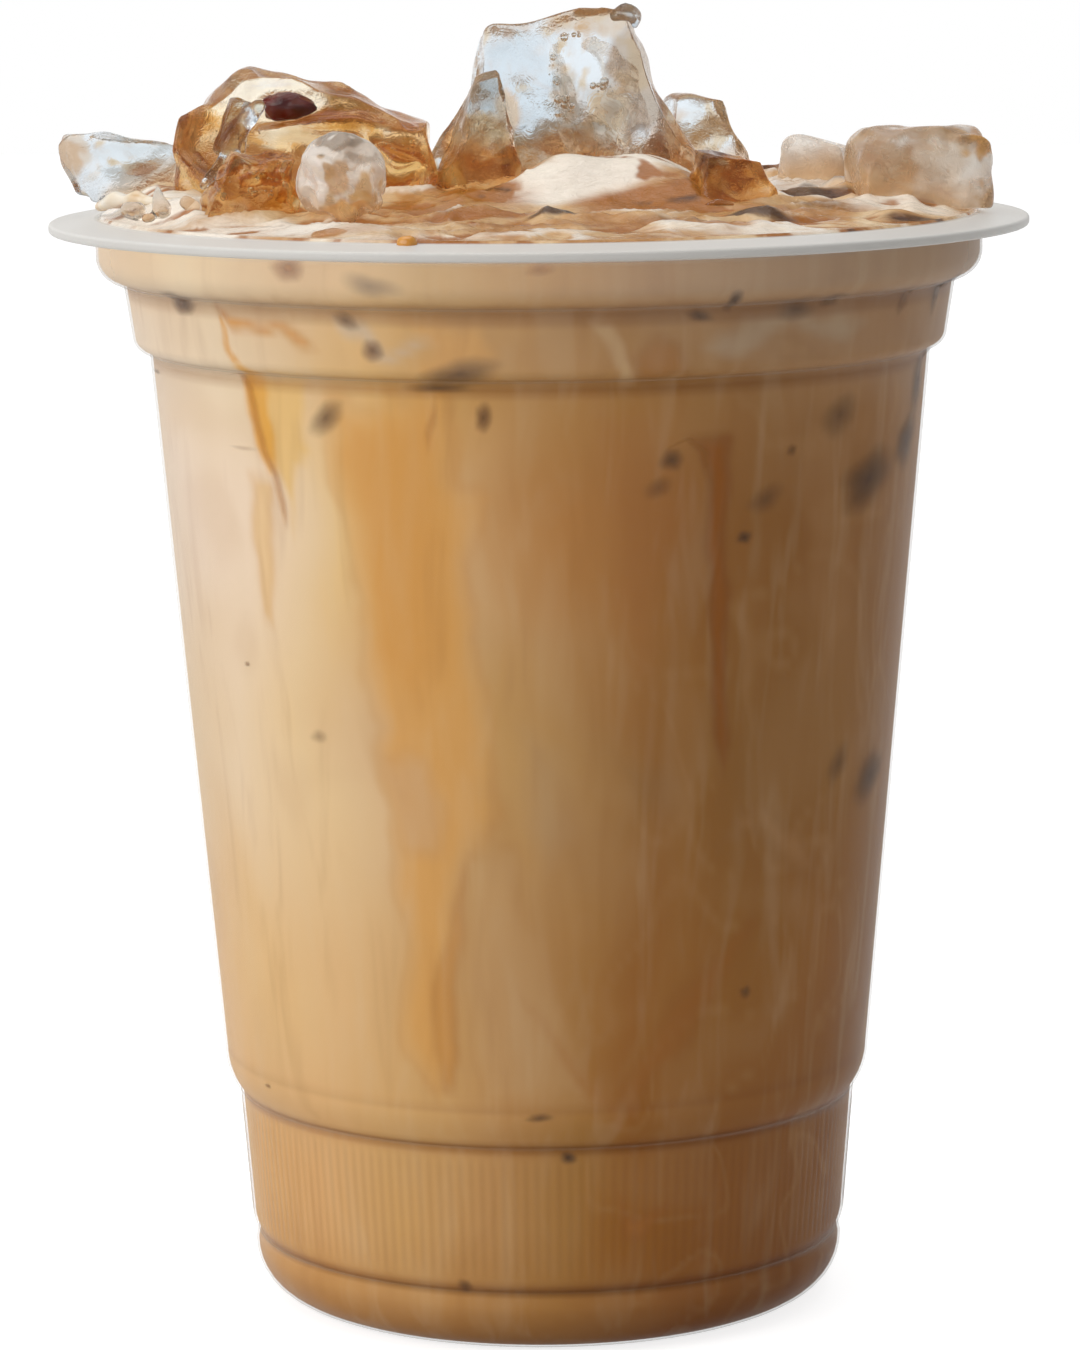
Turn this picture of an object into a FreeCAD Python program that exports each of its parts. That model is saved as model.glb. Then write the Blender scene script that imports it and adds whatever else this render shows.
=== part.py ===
# Iced coffee in a clear disposable cup, filled to the brim, with broken ice heaped above the rim.
# Millimetres, +Z up. The origin is the centre of the cup's standing ring, on the table.

import FreeCAD, Part
import Sketcher
import math
import os

doc = FreeCAD.newDocument("IcedCoffee")


# ---- driving dimensions -------------------------------------------------------------------

cupSizes = {
    "cupHeight": 106.9,       # table to the top of the mouth
    "mouthRadius": 43.0,      # outside of the collar under the flange
    "wall": 0.6,
    "flangeWidth": 4.5,       # how far the flange stands out from the collar
    "flangeThickness": 0.9,
    "flangeDroop": 0.5,       # fall of the flange from the mouth to its edge
    "grooveStep": 0.1,        # ledge left at the bottom of each groove
    "collarDepth": 6.3,       # mouth down to the first groove
    "collarRound": 2.5,
    "bandDepth": 6.7,         # first groove down to the second
    "bandDraft": 0.8,         # how much the band narrows downwards
    "bandRound": 1.5,
    "bodyDraft": 5.0,         # slope of the long wall, degrees
    "waistHeight": 20.8,      # table to the groove over the grip band
    "waistRound": 6.35,
    "waistAngle": 38.0,       # how far the waist's round turns, degrees
    "gripDraft": 1.0,         # how much the grip band narrows downwards
    "beadHeight": 6.4,        # table to the groove over the foot
    "beadRound": 4.4,
    "beadAngle": 28.0,
    "footBulge": 0.3,
    "footRound": 5.0,
    "ringWidth": 0.8,         # flat ring that the cup stands on
    "recess": 1.8,            # height of the hollow under the cup
    "recessRun": 1.0,
    "mound": 4.2,             # rise of the drink from the brim to the middle
}

# A melted block of ice: a tapered block, broken off by a turned one whose top slopes, and worn
# round by water. east and north place its foot, sunk is how deep that lies under the mouth,
# lean shifts the block's top to the east, and turn is about the vertical. crown is the height
# where the broken top crosses the middle, fall and back its slopes down to the east and north.
# worn is the radius of the rounded ends and wornRise the height of their centre.
blockKeys = (
    "east", "north", "sunk", "width", "depth", "height", "topWidth", "topDepth", "lean", "turn",
    "breakWidth", "breakDepth", "breakTurn", "crown", "fall", "back", "worn", "wornRise",
)
iceBlocks = {
    "ice_tall": (3.4, 0.5, 3, 27.6, 18, 24.5, 12.6, 11, -1.5, 3, 30, 20, 26, 22.2, -10, 6, 16.4, 8.5),
    "ice_dome": (-22.7, -1, 2, 26.2, 18, 19, 22, 10, 1, -5, 28, 19, 14, 15, 17.5, 4, 14.4, 3.4),
    "ice_gold": (-6.1, -9.2, 1.5, 11, 9, 16.4, 1.8, 2.2, 1.5, 12, 10.5, 9, 34, 15, -12, -6, 9.6, 6.5),
    "ice_amber": (-28, -18, 1.4, 11.4, 9, 9.6, 5.2, 3.8, 2.4, 12, 12, 9.5, 24, 8.6, 6, -8, 7.2, 3.4),
    "ice_shard": (-29.4, -8.6, -6, 3.6, 3.4, 6.4, 2.4, 2, 1.5, 12, 3.6, 3.4, 36, 5.7, 8, -8, 3.6, 3),
    "ice_slab": (-37.9, 3, -1, 12, 9, 7, 15.6, 5.4, -1.7, 6, 17, 9, 12, 6.2, 7, 6, 8.5, 3.2),
    "ice_rear": (16.2, 14.4, 1.5, 13.6, 12, 14, 3.4, 4, -1, 16, 12.6, 11.4, 36, 11.9, 13, 4, 8.4, 4.2),
    "ice_facet": (19.2, -11.8, 1.5, 11.4, 9, 8.6, 4.4, 3.4, -2, 20, 10.6, 8.8, 38, 7.4, 8, -6, 6.4, 3),
    "ice_cube": (28.4, 12.4, 1, 9.8, 9, 8.4, 5.4, 4.6, -1, -14, 9.4, 8.4, 34, 7, 15, 4, 6, 2.6),
    "ice_block": (36.5, -3, -0.2, 13.8, 14, 9.4, 13, 10, -0.1, 5, 15.4, 14.6, 18, 7.9, 1, 3, 8.6, 1.4),
    "ice_back_left": (-18, 22, 1.5, 15, 12, 8.6, 9, 6, 1, 30, 15, 12, 30, 7.6, 8, 10, 8.4, 3),
    "ice_back_mid": (2, 25, 1, 13, 11, 9, 8, 6, -1, -12, 13, 11, 34, 8, -6, 8, 8, 3.2),
    "ice_back_right": (25.6, 24.4, 1.4, 12, 10, 5.6, 7, 6, 0, 40, 12, 10, 28, 4.2, 6, 8, 7, 2),
}
# What each block is frozen against: its face there is the other's.
iceSeats = {
    "ice_dome": ["ice_tall"],
    "ice_gold": ["ice_tall", "ice_dome"],
    "ice_amber": ["ice_dome"],
    "ice_shard": ["ice_dome", "ice_amber"],
    "ice_slab": ["ice_dome", "cup"],
    "ice_rear": ["ice_tall"],
    "ice_facet": ["ice_tall"],
    "ice_cube": ["ice_rear"],
    "ice_block": ["ice_cube", "ice_facet", "cup"],
    "ice_back_left": ["ice_dome"],
    "ice_back_mid": ["ice_tall", "ice_back_left", "ice_rear"],
    "ice_back_right": ["ice_rear", "ice_cube", "ice_back_mid", "ice_block"],
    "ice_oval": ["ice_dome", "ice_amber", "ice_gold"],
}
ovalSizes = {
    "ovalEast": -18.4,
    "ovalNorth": -20.4,
    "ovalRise": 4.6,          # middle of the lump over the mouth
    "ovalWidth": 8.8,
    "ovalDepth": 8.0,
    "ovalHeight": 9.0,
    "ovalLean": 18.0,         # degrees
}
tipSizes = {
    "tipEast": 8.4,           # the bead of melt water on the tall block's top
    "tipNorth": 0.0,
    "tipRise": 18.9,
    "tipRadius": 1.25,
}
heapSizes = {
    "heapMouth": 42.4,        # inside radius of the mouth that the ice above is sized for
}


def blockWord(node, key):
    # "ice_tall", "width" -> "tallWidth"
    parts = node.split("_")[1:]
    return parts[0] + "".join(part.capitalize() for part in parts[1:]) + key[0].upper() + key[1:]


def makeSheet():
    sheet = doc.addObject("Spreadsheet::Sheet", "Sizes")
    rows = dict(cupSizes)
    for node, values in iceBlocks.items():
        rows.update({blockWord(node, key): value for key, value in zip(blockKeys, values)})
    rows.update(ovalSizes)
    rows.update(tipSizes)
    rows.update(heapSizes)
    for row, (alias, value) in enumerate(rows.items(), start=1):
        sheet.set(f"A{row}", alias)
        sheet.set(f"B{row}", str(value))
        sheet.setAlias(f"B{row}", alias)
    doc.recompute()
    return sheet


sizes = makeSheet()


def size(formula):
    # the value of a formula in the sheet's own names
    value = sizes.evalExpression(formula)
    return float(getattr(value, "Value", value))


# ---- outlines of the turned pieces --------------------------------------------------------

# An outline is a list of corners (radius, height, round): the first two are formulas, and round
# is the radius of the arc that leads to the corner, or None where a straight line does.


def wallOutline(inset):
    # the wall from the mouth to the middle of the base, moved inwards by the inset
    waistCos, waistSin = "cos(waistAngle)", "sin(waistAngle)"
    beadCos, beadSin = "cos(beadAngle)", "sin(beadAngle)"
    collarFoot = "(cupHeight - collarDepth)"
    bandFoot = "(cupHeight - collarDepth - bandDepth)"
    bandTop = "(mouthRadius - collarRound - grooveStep)"
    bandLow = f"({bandTop} - bandDraft)"
    bodyTop = f"({bandLow} - bandRound - grooveStep)"
    waistTop = f"(waistHeight + waistRound * {waistSin})"
    bodyLow = f"({bodyTop} - ({bandFoot} - {waistTop}) * tan(bodyDraft))"
    gripTop = f"({bodyLow} - waistRound * (1 - {waistCos}) - grooveStep)"
    gripLow = f"({gripTop} - gripDraft)"
    footTop = f"({gripLow} - beadRound * (1 - {beadCos}) - grooveStep)"
    footOut = f"({footTop} + footBulge)"
    ring = f"({footOut} - footRound)"
    t = inset
    return [
        (f"mouthRadius - {t}", "cupHeight", None),
        (f"mouthRadius - {t}", f"{collarFoot} + collarRound", None),
        ("mouthRadius - collarRound", f"{collarFoot} + {t}", f"collarRound - {t}"),
        (f"{bandTop} - {t}", f"{collarFoot} + {t}", None),
        (f"{bandLow} - {t}", f"{bandFoot} + bandRound", None),
        (f"{bandLow} - bandRound", f"{bandFoot} + {t}", f"bandRound - {t}"),
        (f"{bodyTop} - {t}", f"{bandFoot} + {t}", None),
        (f"{bodyLow} - {t}", waistTop, None),
        (
            f"{bodyLow} - waistRound + (waistRound - {t}) * {waistCos}",
            f"waistHeight + {t} * {waistSin}",
            f"waistRound - {t}",
        ),
        (f"{gripTop} - {t}", f"waistHeight + {t} * {waistSin}", None),
        (f"{gripLow} - {t}", f"beadHeight + beadRound * {beadSin}", None),
        (
            f"{gripLow} - beadRound + (beadRound - {t}) * {beadCos}",
            f"beadHeight + {t} * {beadSin}",
            f"beadRound - {t}",
        ),
        (f"{footTop} - {t}", f"beadHeight + {t} * {beadSin}", None),
        (f"{footOut} - {t}", "footRound", None),
        (ring, t, f"footRound - {t}"),
        (f"{ring} - ringWidth", t, None),
        (f"{ring} - ringWidth - recessRun", f"recess + {t}", None),
        ("0", f"recess + {t}", None),
    ]


def backwards(corners):
    # the same outline drawn the other way: each arc moves to the corner it now leads to
    turned = corners[::-1]
    rounds = [None] + [corner[2] for corner in turned[:-1]]
    return [(radius, height, arc) for (radius, height, _), arc in zip(turned, rounds)]


def cupOutline():
    outside = wallOutline("0")
    flange = [
        ("mouthRadius + flangeWidth", "cupHeight - flangeDroop", None),
        ("mouthRadius + flangeWidth", "cupHeight - flangeDroop - flangeThickness", None),
        ("mouthRadius", "cupHeight - flangeThickness", None),
    ]
    return flange + outside[1:] + backwards(wallOutline("wall"))


def drinkOutline():
    # the cup's inside, closed by a shallow dome over the mouth
    inside = wallOutline("wall")
    domeRound = "((mouthRadius - wall) ^ 2 + mound ^ 2) / (2 * mound)"
    radius, height, _ = inside[0]
    top = [("0", "cupHeight + mound", None), (radius, height, domeRound)]
    return inside[1:] + top


def arcBetween(start, end, radius):
    # of the two arcs of this radius, the one whose centre lies nearer the axis
    half = (end - start) * 0.5
    reach = math.sqrt(max(radius * radius - half.Length * half.Length, 0.0))
    side = FreeCAD.Vector(-half.y, half.x, 0).normalize() * reach
    centre = min((start + half + side, start + half - side), key=lambda point: point.x)
    angles = [math.atan2(point.y - centre.y, point.x - centre.x) for point in (start, end)]
    sweep = (angles[1] - angles[0]) % (2 * math.pi)
    if sweep > math.pi:
        angles.reverse()
    circle = Part.Circle(centre, FreeCAD.Vector(0, 0, 1), radius)
    return Part.ArcOfCircle(circle, angles[0], angles[1]), sweep > math.pi


def drawOutline(sketch, corners):
    # a closed chain of lines and arcs, with each corner held at its formula's place
    points = [FreeCAD.Vector(size(radius), size(height), 0) for radius, height, _ in corners]
    ends = []
    for index, (_, _, arc) in enumerate(corners):
        start, end = points[index - 1], points[index]
        if arc is None:
            sketch.addGeometry(Part.LineSegment(start, end), False)
            ends.append((1, 2))
        else:
            curve, reversedArc = arcBetween(start, end, size(arc))
            sketch.addGeometry(curve, False)
            ends.append((2, 1) if reversedArc else (1, 2))
    for index, (radius, height, arc) in enumerate(corners):
        after = (index + 1) % len(corners)
        joint = (index, ends[index][1], after, ends[after][0])
        sketch.addConstraint(Sketcher.Constraint("Coincident", *joint))
        corner = (index, ends[index][1])
        for kind, formula, value in (
            ("DistanceX", radius, points[index].x),
            ("DistanceY", height, points[index].y),
        ):
            if abs(value) < 1e-9:
                axis = -2 if kind == "DistanceX" else -1
                sketch.addConstraint(Sketcher.Constraint("PointOnObject", *corner, axis))
            else:
                number = sketch.addConstraint(Sketcher.Constraint(kind, -1, 1, *corner, value))
                sketch.setExpression(f"Constraints[{number}]", onSheet(formula))
        if arc is not None:
            value = size(arc)
            number = sketch.addConstraint(Sketcher.Constraint("Radius", index, value))
            sketch.setExpression(f"Constraints[{number}]", onSheet(arc))


def onSheet(formula):
    # the formula with each of the sheet's names written as Sizes.name
    words = []
    word = ""
    for letter in formula + " ":
        if letter.isalnum():
            word += letter
        else:
            words.append(f"Sizes.{word}" if sizes.getCellFromAlias(word) else word)
            words.append(letter)
            word = ""
    return "".join(words).strip()


def turnedBody(name, corners):
    # a body turned about the vertical axis from one closed outline
    body = doc.addObject("PartDesign::Body", name)
    upright = next(item for item in body.Origin.OriginFeatures if item.Role == "XZ_Plane")
    sketch = body.newObject("Sketcher::SketchObject", name + "Outline")
    sketch.AttachmentSupport = [(upright, "")]
    sketch.MapMode = "FlatFace"
    drawOutline(sketch, corners)
    doc.recompute()
    turned = body.newObject("PartDesign::Revolution", name + "Turned")
    turned.Profile = sketch
    turned.ReferenceAxis = (sketch, ["V_Axis"])
    turned.Angle = 360
    body.Tip = turned
    doc.recompute()
    return body


# ---- ice ----------------------------------------------------------------------------------


# the ice is sized for one mouth and grows with it
grown = "((mouthRadius - wall) / heapMouth)"


def placed(x, y, z, yaw="0", pitch="0", roll="0"):
    return f"placement(vector({x}; {y}; {z}); rotation({yaw}; {pitch}; {roll}))"


def bind(item, **formulas):
    for field, formula in formulas.items():
        item.setExpression(field, onSheet(formula))


def iceBlock(node):
    word = {key: f"({blockWord(node, key)} * {grown})" for key in blockKeys}
    turn, fall, back, breakTurn = (
        blockWord(node, key) for key in ("turn", "fall", "back", "breakTurn")
    )
    place = placed(word["east"], word["north"], f"cupHeight - {word['sunk']}", turn, "0", "90")
    block = doc.addObject("Part::Wedge", node + "_block")
    bind(
        block,
        Xmin=f"-{word['width']} / 2",
        Xmax=f"{word['width']} / 2",
        Zmin=f"-{word['depth']} / 2",
        Zmax=f"{word['depth']} / 2",
        Ymin="0",
        Ymax=word["height"],
        X2min=f"{word['lean']} - {word['topWidth']} / 2",
        X2max=f"{word['lean']} + {word['topWidth']} / 2",
        Z2min=f"-{word['topDepth']} / 2",
        Z2max=f"{word['topDepth']} / 2",
        Placement=place,
    )
    slope = placed("0", word["crown"], "0", f"-{fall}", "0", f"-{back}")
    aside = placed("0", "0", "0", "0", breakTurn, "0")
    corner = placed(f"-{word['breakWidth']} / 2", f"-2 * {word['height']}", f"-{word['breakDepth']} / 2")
    across = doc.addObject("Part::Box", node + "_break")
    bind(
        across,
        Length=word["breakWidth"],
        Width=f"2 * {word['height']}",
        Height=word["breakDepth"],
        Placement=f"{place} * {slope} * {aside} * {corner}",
    )
    worn = doc.addObject("Part::Sphere", node + "_worn")
    centre = placed(f"{word['lean']} / 2", word["wornRise"], "0")
    bind(worn, Radius=word["worn"], Placement=f"{place} * {centre}")
    lump = doc.addObject("Part::MultiCommon", node + "_lump")
    lump.Shapes = [block, across, worn]
    return lump


def iceOval():
    lump = doc.addObject("Part::Ellipsoid", "ice_oval_lump")
    rise = f"cupHeight + ovalRise * {grown}"
    bind(
        lump,
        Radius1=f"ovalHeight * {grown} / 2",
        Radius2=f"ovalWidth * {grown} / 2",
        Radius3=f"ovalDepth * {grown} / 2",
        Placement=placed(f"ovalEast * {grown}", f"ovalNorth * {grown}", rise, "0", "ovalLean"),
    )
    return lump


def meltBead(lump):
    # the tall block with the bead of melt water that hangs on its top corner
    bead = doc.addObject("Part::Sphere", "ice_tall_bead")
    rise = f"cupHeight + tipRise * {grown}"
    bind(
        bead,
        Radius=f"tipRadius * {grown}",
        Placement=placed(f"tipEast * {grown}", f"tipNorth * {grown}", rise),
    )
    joined = doc.addObject("Part::Fuse", "ice_tall_beaded")
    joined.Base = lump
    joined.Tool = bead
    return joined


def cutBy(base, tools, name):
    cut = doc.addObject("Part::Cut", name)
    cut.Base = base
    if len(tools) == 1:
        cut.Tool = tools[0]
    else:
        group = doc.addObject("Part::Compound", name + "_cutters")
        group.Links = tools
        cut.Tool = group
    return cut


# ---- the object ---------------------------------------------------------------------------

nodes = {"cup": turnedBody("cup", cupOutline())}

for node in [*iceBlocks, "ice_oval"]:
    lump = iceOval() if node == "ice_oval" else iceBlock(node)
    if node == "ice_tall":
        lump = meltBead(lump)
    if node in iceSeats:
        lump = cutBy(lump, [nodes[seat] for seat in iceSeats[node]], node + "_seated")
    nodes[node] = lump
doc.recompute()

fill = turnedBody("drinkFill", drinkOutline())
ice = [piece for node, piece in nodes.items() if node.startswith("ice")]
nodes["latte"] = cutBy(fill, ice, "latte_round_ice")

for node, piece in nodes.items():
    piece.Label = node
doc.recompute()


# ---- checks and export --------------------------------------------------------------------

for item in doc.Objects:
    if {"Invalid", "Error"} & set(item.State):
        raise RuntimeError(f"{item.Name} failed: {item.State}")
for node, piece in nodes.items():
    shape = piece.Shape
    if shape.isNull() or not shape.isValid():
        raise RuntimeError(f"{node} has no valid shape")
    if len(shape.Solids) != 1:
        raise RuntimeError(f"{node} is {len(shape.Solids)} solids, not one")

os.makedirs("parts", exist_ok=True)
for node, piece in nodes.items():
    piece.Shape.exportStep(f"parts/{node}.step")
    box = piece.Shape.BoundBox
    print(
        f"{node}: {piece.Shape.Volume:.0f} mm3,"
        f" x {box.XMin:.1f}..{box.XMax:.1f}, y {box.YMin:.1f}..{box.YMax:.1f},"
        f" z {box.ZMin:.1f}..{box.ZMax:.1f}"
    )
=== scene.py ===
import math
import bmesh
import bpy
import numpy as np
from mathutils import Matrix, Vector, noise
from mathutils.bvhtree import BVHTree


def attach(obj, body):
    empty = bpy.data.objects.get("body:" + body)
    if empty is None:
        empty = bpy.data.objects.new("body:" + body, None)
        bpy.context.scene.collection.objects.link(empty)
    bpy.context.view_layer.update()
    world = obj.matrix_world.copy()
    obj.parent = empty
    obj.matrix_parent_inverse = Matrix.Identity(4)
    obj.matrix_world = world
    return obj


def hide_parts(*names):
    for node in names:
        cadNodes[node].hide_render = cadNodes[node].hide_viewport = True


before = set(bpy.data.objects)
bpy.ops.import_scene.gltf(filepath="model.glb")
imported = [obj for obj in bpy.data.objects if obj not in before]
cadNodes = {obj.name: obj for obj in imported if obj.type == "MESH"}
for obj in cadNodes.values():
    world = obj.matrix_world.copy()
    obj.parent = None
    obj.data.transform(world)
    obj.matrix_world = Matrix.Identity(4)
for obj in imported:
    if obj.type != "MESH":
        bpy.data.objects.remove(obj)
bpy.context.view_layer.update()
mm = 0.001


# small helpers for building node trees


def feed(tree, socket, value):
    if isinstance(value, bpy.types.NodeSocket):
        tree.links.new(value, socket)
    else:
        socket.default_value = value


def put(tree, kind, values=None, **settings):
    node = tree.nodes.new(kind)
    for field, value in settings.items():
        setattr(node, field, value)
    for socket, value in (values or {}).items():
        feed(tree, node.inputs[socket], value)
    return node


def calc(tree, operation, first, second=0.0, third=0.0):
    values = {0: first, 1: second, 2: third}
    return put(tree, "ShaderNodeMath", values, operation=operation).outputs[0]


def fade(tree, value, low, high, start=0.0, end=1.0):
    # a soft step from start to end as the value goes from low to high
    values = {"Value": value, "From Min": low, "From Max": high, "To Min": start, "To Max": end}
    return put(tree, "ShaderNodeMapRange", values, interpolation_type="SMOOTHSTEP").outputs["Result"]


def tint(tree, factor, first, second, mode="MIX"):
    values = {0: factor, 6: first, 7: second}
    return put(tree, "ShaderNodeMix", values, data_type="RGBA", blend_type=mode).outputs[2]


def colour(code):
    # "EAD9BC" to the linear colour that shows as it
    values = [int(code[i : i + 2], 16) / 255 for i in (0, 2, 4)]
    return tuple(v / 12.92 if v <= 0.04045 else ((v + 0.055) / 1.055) ** 2.4 for v in values) + (1.0,)


def cloud(tree, place, scale, detail=3.0, roughness=0.5, distortion=0.0):
    values = {"Vector": place, "Scale": scale, "Detail": detail, "Roughness": roughness}
    values["Distortion"] = distortion
    return put(tree, "ShaderNodeTexNoise", values).outputs["Fac"]


def objectPlace(tree):
    return put(tree, "ShaderNodeTexCoord").outputs["Object"]


def stretch(tree, place, scale):
    return put(tree, "ShaderNodeMapping", {"Vector": place, "Scale": scale}).outputs["Vector"]


def layer(tree, name, output="Fac"):
    # a mask or colour painted on the mesh
    node = put(tree, "ShaderNodeAttribute", attribute_name=name, attribute_type="GEOMETRY")
    return node.outputs[output]


def ramp(tree, factor, stops):
    # stops are {position: colour code}
    node = put(tree, "ShaderNodeValToRGB", {"Fac": factor})
    elements = node.color_ramp.elements
    while len(elements) < len(stops):
        elements.new(0.5)
    for element, position in zip(elements, sorted(stops)):
        element.position = position
    for element, position in zip(elements, sorted(stops)):
        element.color = colour(stops[position])
    return node.outputs["Color"]


def newGroup(name, inputs, outputs):
    # inputs are {name: starting value}, and None there makes a vector
    group = bpy.data.node_groups.new(name, "ShaderNodeTree")
    for label, value in inputs.items():
        kind = "NodeSocketVector" if value is None else "NodeSocketFloat"
        socket = group.interface.new_socket(label, in_out="INPUT", socket_type=kind)
        if value is not None:
            socket.default_value = value
    for label in outputs:
        group.interface.new_socket(label, in_out="OUTPUT", socket_type="NodeSocketFloat")
    given = group.nodes.new("NodeGroupInput").outputs
    return group, given, group.nodes.new("NodeGroupOutput").inputs


def use(tree, group, **values):
    node = put(tree, "ShaderNodeGroup", node_tree=group)
    for label, value in values.items():
        feed(tree, node.inputs[label], value)
    return node.outputs


def newMaterial(name, **sockets):
    material = bpy.data.materials.new(name)
    material.use_nodes = True
    shader = material.node_tree.nodes["Principled BSDF"]
    for label, value in sockets.items():
        feed(material.node_tree, shader.inputs[label.replace("_", " ")], value)
    return material, material.node_tree, shader


# effects that several materials share


def makeWallPlace():
    # where a point is on the cup: degrees round from the front and millimetres up
    group, _, out = newGroup("wallPlace", {}, ("Azimuth", "Height", "Radius"))
    axes = put(group, "ShaderNodeSeparateXYZ", {"Vector": objectPlace(group)}).outputs
    back = calc(group, "MULTIPLY", axes["Y"], -1.0)
    turn = calc(group, "ARCTAN2", axes["X"], back)
    feed(group, out["Azimuth"], calc(group, "MULTIPLY", turn, 180 / math.pi))
    feed(group, out["Height"], calc(group, "MULTIPLY", axes["Z"], 1000.0))
    across = calc(group, "POWER", axes["X"], 2.0)
    deep = calc(group, "POWER", axes["Y"], 2.0)
    reach = calc(group, "SQRT", calc(group, "ADD", across, deep))
    feed(group, out["Radius"], calc(group, "MULTIPLY", reach, 1000.0))
    return group


def makeFineGrain():
    # the even speckle of pressed plastic and of frost on ice
    inputs = {"Place": None, "Size": 0.3, "Depth": 1.0}
    group, given, out = newGroup("fineGrain", inputs, ("Speckle", "Height"))
    fine = cloud(group, given["Place"], calc(group, "DIVIDE", 1000.0, given["Size"]), 1.0, 0.6)
    feed(group, out["Speckle"], fine)
    feed(group, out["Height"], calc(group, "MULTIPLY", fine, given["Depth"]))
    return group


def makeMeltSkin():
    # slow dimples and fine folds of a wet surface
    inputs = {"Place": None, "Size": 4.0, "Folds": 0.5}
    group, given, out = newGroup("meltSkin", inputs, ("Height",))
    scale = calc(group, "DIVIDE", 1000.0, given["Size"])
    broad = cloud(group, given["Place"], scale, 2.0, 0.45, 0.4)
    fold = cloud(group, given["Place"], calc(group, "MULTIPLY", scale, 2.3), 3.0, 0.5, 1.6)
    ridge = calc(group, "ABSOLUTE", calc(group, "SUBTRACT", fold, 0.5))
    feed(group, out["Height"], calc(group, "MULTIPLY_ADD", ridge, given["Folds"], broad))
    return group


wallPlace = makeWallPlace()
fineGrain = makeFineGrain()
meltSkin = makeMeltSkin()


def addBump(tree, shader, height, strength, distance):
    values = {"Strength": strength, "Distance": distance * mm, "Height": height}
    feed(tree, shader.inputs["Normal"], put(tree, "ShaderNodeBump", values).outputs["Normal"])


# the cup's plastic

cupForm = {
    # millimetres and degrees
    "height": 106.9, "mouth": 43.0, "wall": 0.6, "flange": 4.5, "flangeThickness": 0.9, "droop": 0.5,
    "step": 0.1, "collarDepth": 6.3, "collarRound": 2.5,
    "bandDepth": 6.7, "bandDraft": 0.8, "bandRound": 1.5,
    "bodyDraft": 5.0, "waistHeight": 20.8, "waistRound": 6.35, "waistAngle": 38.0, "gripDraft": 1.0,
    "beadHeight": 6.4, "beadRound": 4.4, "beadAngle": 28.0, "footBulge": 0.3, "footRound": 5.0,
    "ringWidth": 0.8, "recess": 1.8, "recessRun": 1.0,
    "ribs": 180, "ribDepth": 0.05, "gripRadius": 28.6, "edgeRound": 0.3, "columns": 720,
}
plasticLook = {
    "tone": "E4E2DC",
    "speckle": "D9D7D1",
    "rimTone": "D8D5D0",
    "wallVeil": 0.03,      # how much of the wall's own white shows over the drink
    "edgeVeil": 0.24,      # the same where the wall is seen along itself
    "bandVeil": 0.06,      # added on the stacking band
    "collarVeil": 0.10,    # and once more on the thick collar
    "rimVeil": 0.93,
    "bandFrom": (93.6, 96.0),      # mm up, where each veil starts and is full
    "collarFrom": (101.0, 102.6),
    "rimFrom": (104.6, 106.0),
    "rimOut": (42.7, 43.2),        # mm from the axis
    "roughness": (0.36, 0.12),     # the least, and what the speckle adds
    "grain": 0.35,         # mm
}


def makePlastic():
    look = plasticLook
    material, tree, shader = newMaterial("frostedPlastic", IOR=1.49, Specular_IOR_Level=0.3)
    where = use(tree, wallPlace)
    grain = use(tree, fineGrain, Place=objectPlace(tree), Size=look["grain"], Depth=1.0)
    rim = fade(tree, where["Height"], *look["rimFrom"])
    flange = calc(tree, "MULTIPLY", rim, fade(tree, where["Radius"], *look["rimOut"]))
    shade = tint(tree, grain["Speckle"], colour(look["speckle"]), colour(look["tone"]))
    shade = tint(tree, flange, shade, colour(look["rimTone"]))
    feed(tree, shader.inputs["Base Color"], shade)
    facing = put(tree, "ShaderNodeLayerWeight", {"Blend": 0.5}).outputs["Facing"]
    edge = fade(tree, facing, 0.45, 1.0, look["wallVeil"], look["edgeVeil"])
    band = fade(tree, where["Height"], *look["bandFrom"], 0.0, look["bandVeil"])
    collar = fade(tree, where["Height"], *look["collarFrom"], 0.0, look["collarVeil"])
    edge = calc(tree, "ADD", edge, calc(tree, "ADD", band, collar))
    veil = put(tree, "ShaderNodeMix", {0: flange, 2: edge, 3: look["rimVeil"]}, data_type="FLOAT")
    feed(tree, shader.inputs["Alpha"], veil.outputs[0])
    least, more = look["roughness"]
    feed(tree, shader.inputs["Roughness"], calc(tree, "MULTIPLY_ADD", grain["Speckle"], more, least))
    addBump(tree, shader, grain["Height"], 0.35, 0.03)
    return material


# the drink seen through the wall

gripLook = {
    # where the ribs fade in and out, mm up, and how much the painted shade of each darkens the drink behind
    # it
    "low": (7.2, 9.0), "high": (20.4, 18.6), "shade": 0.11, "tone": "8A6A44",
}


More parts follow.
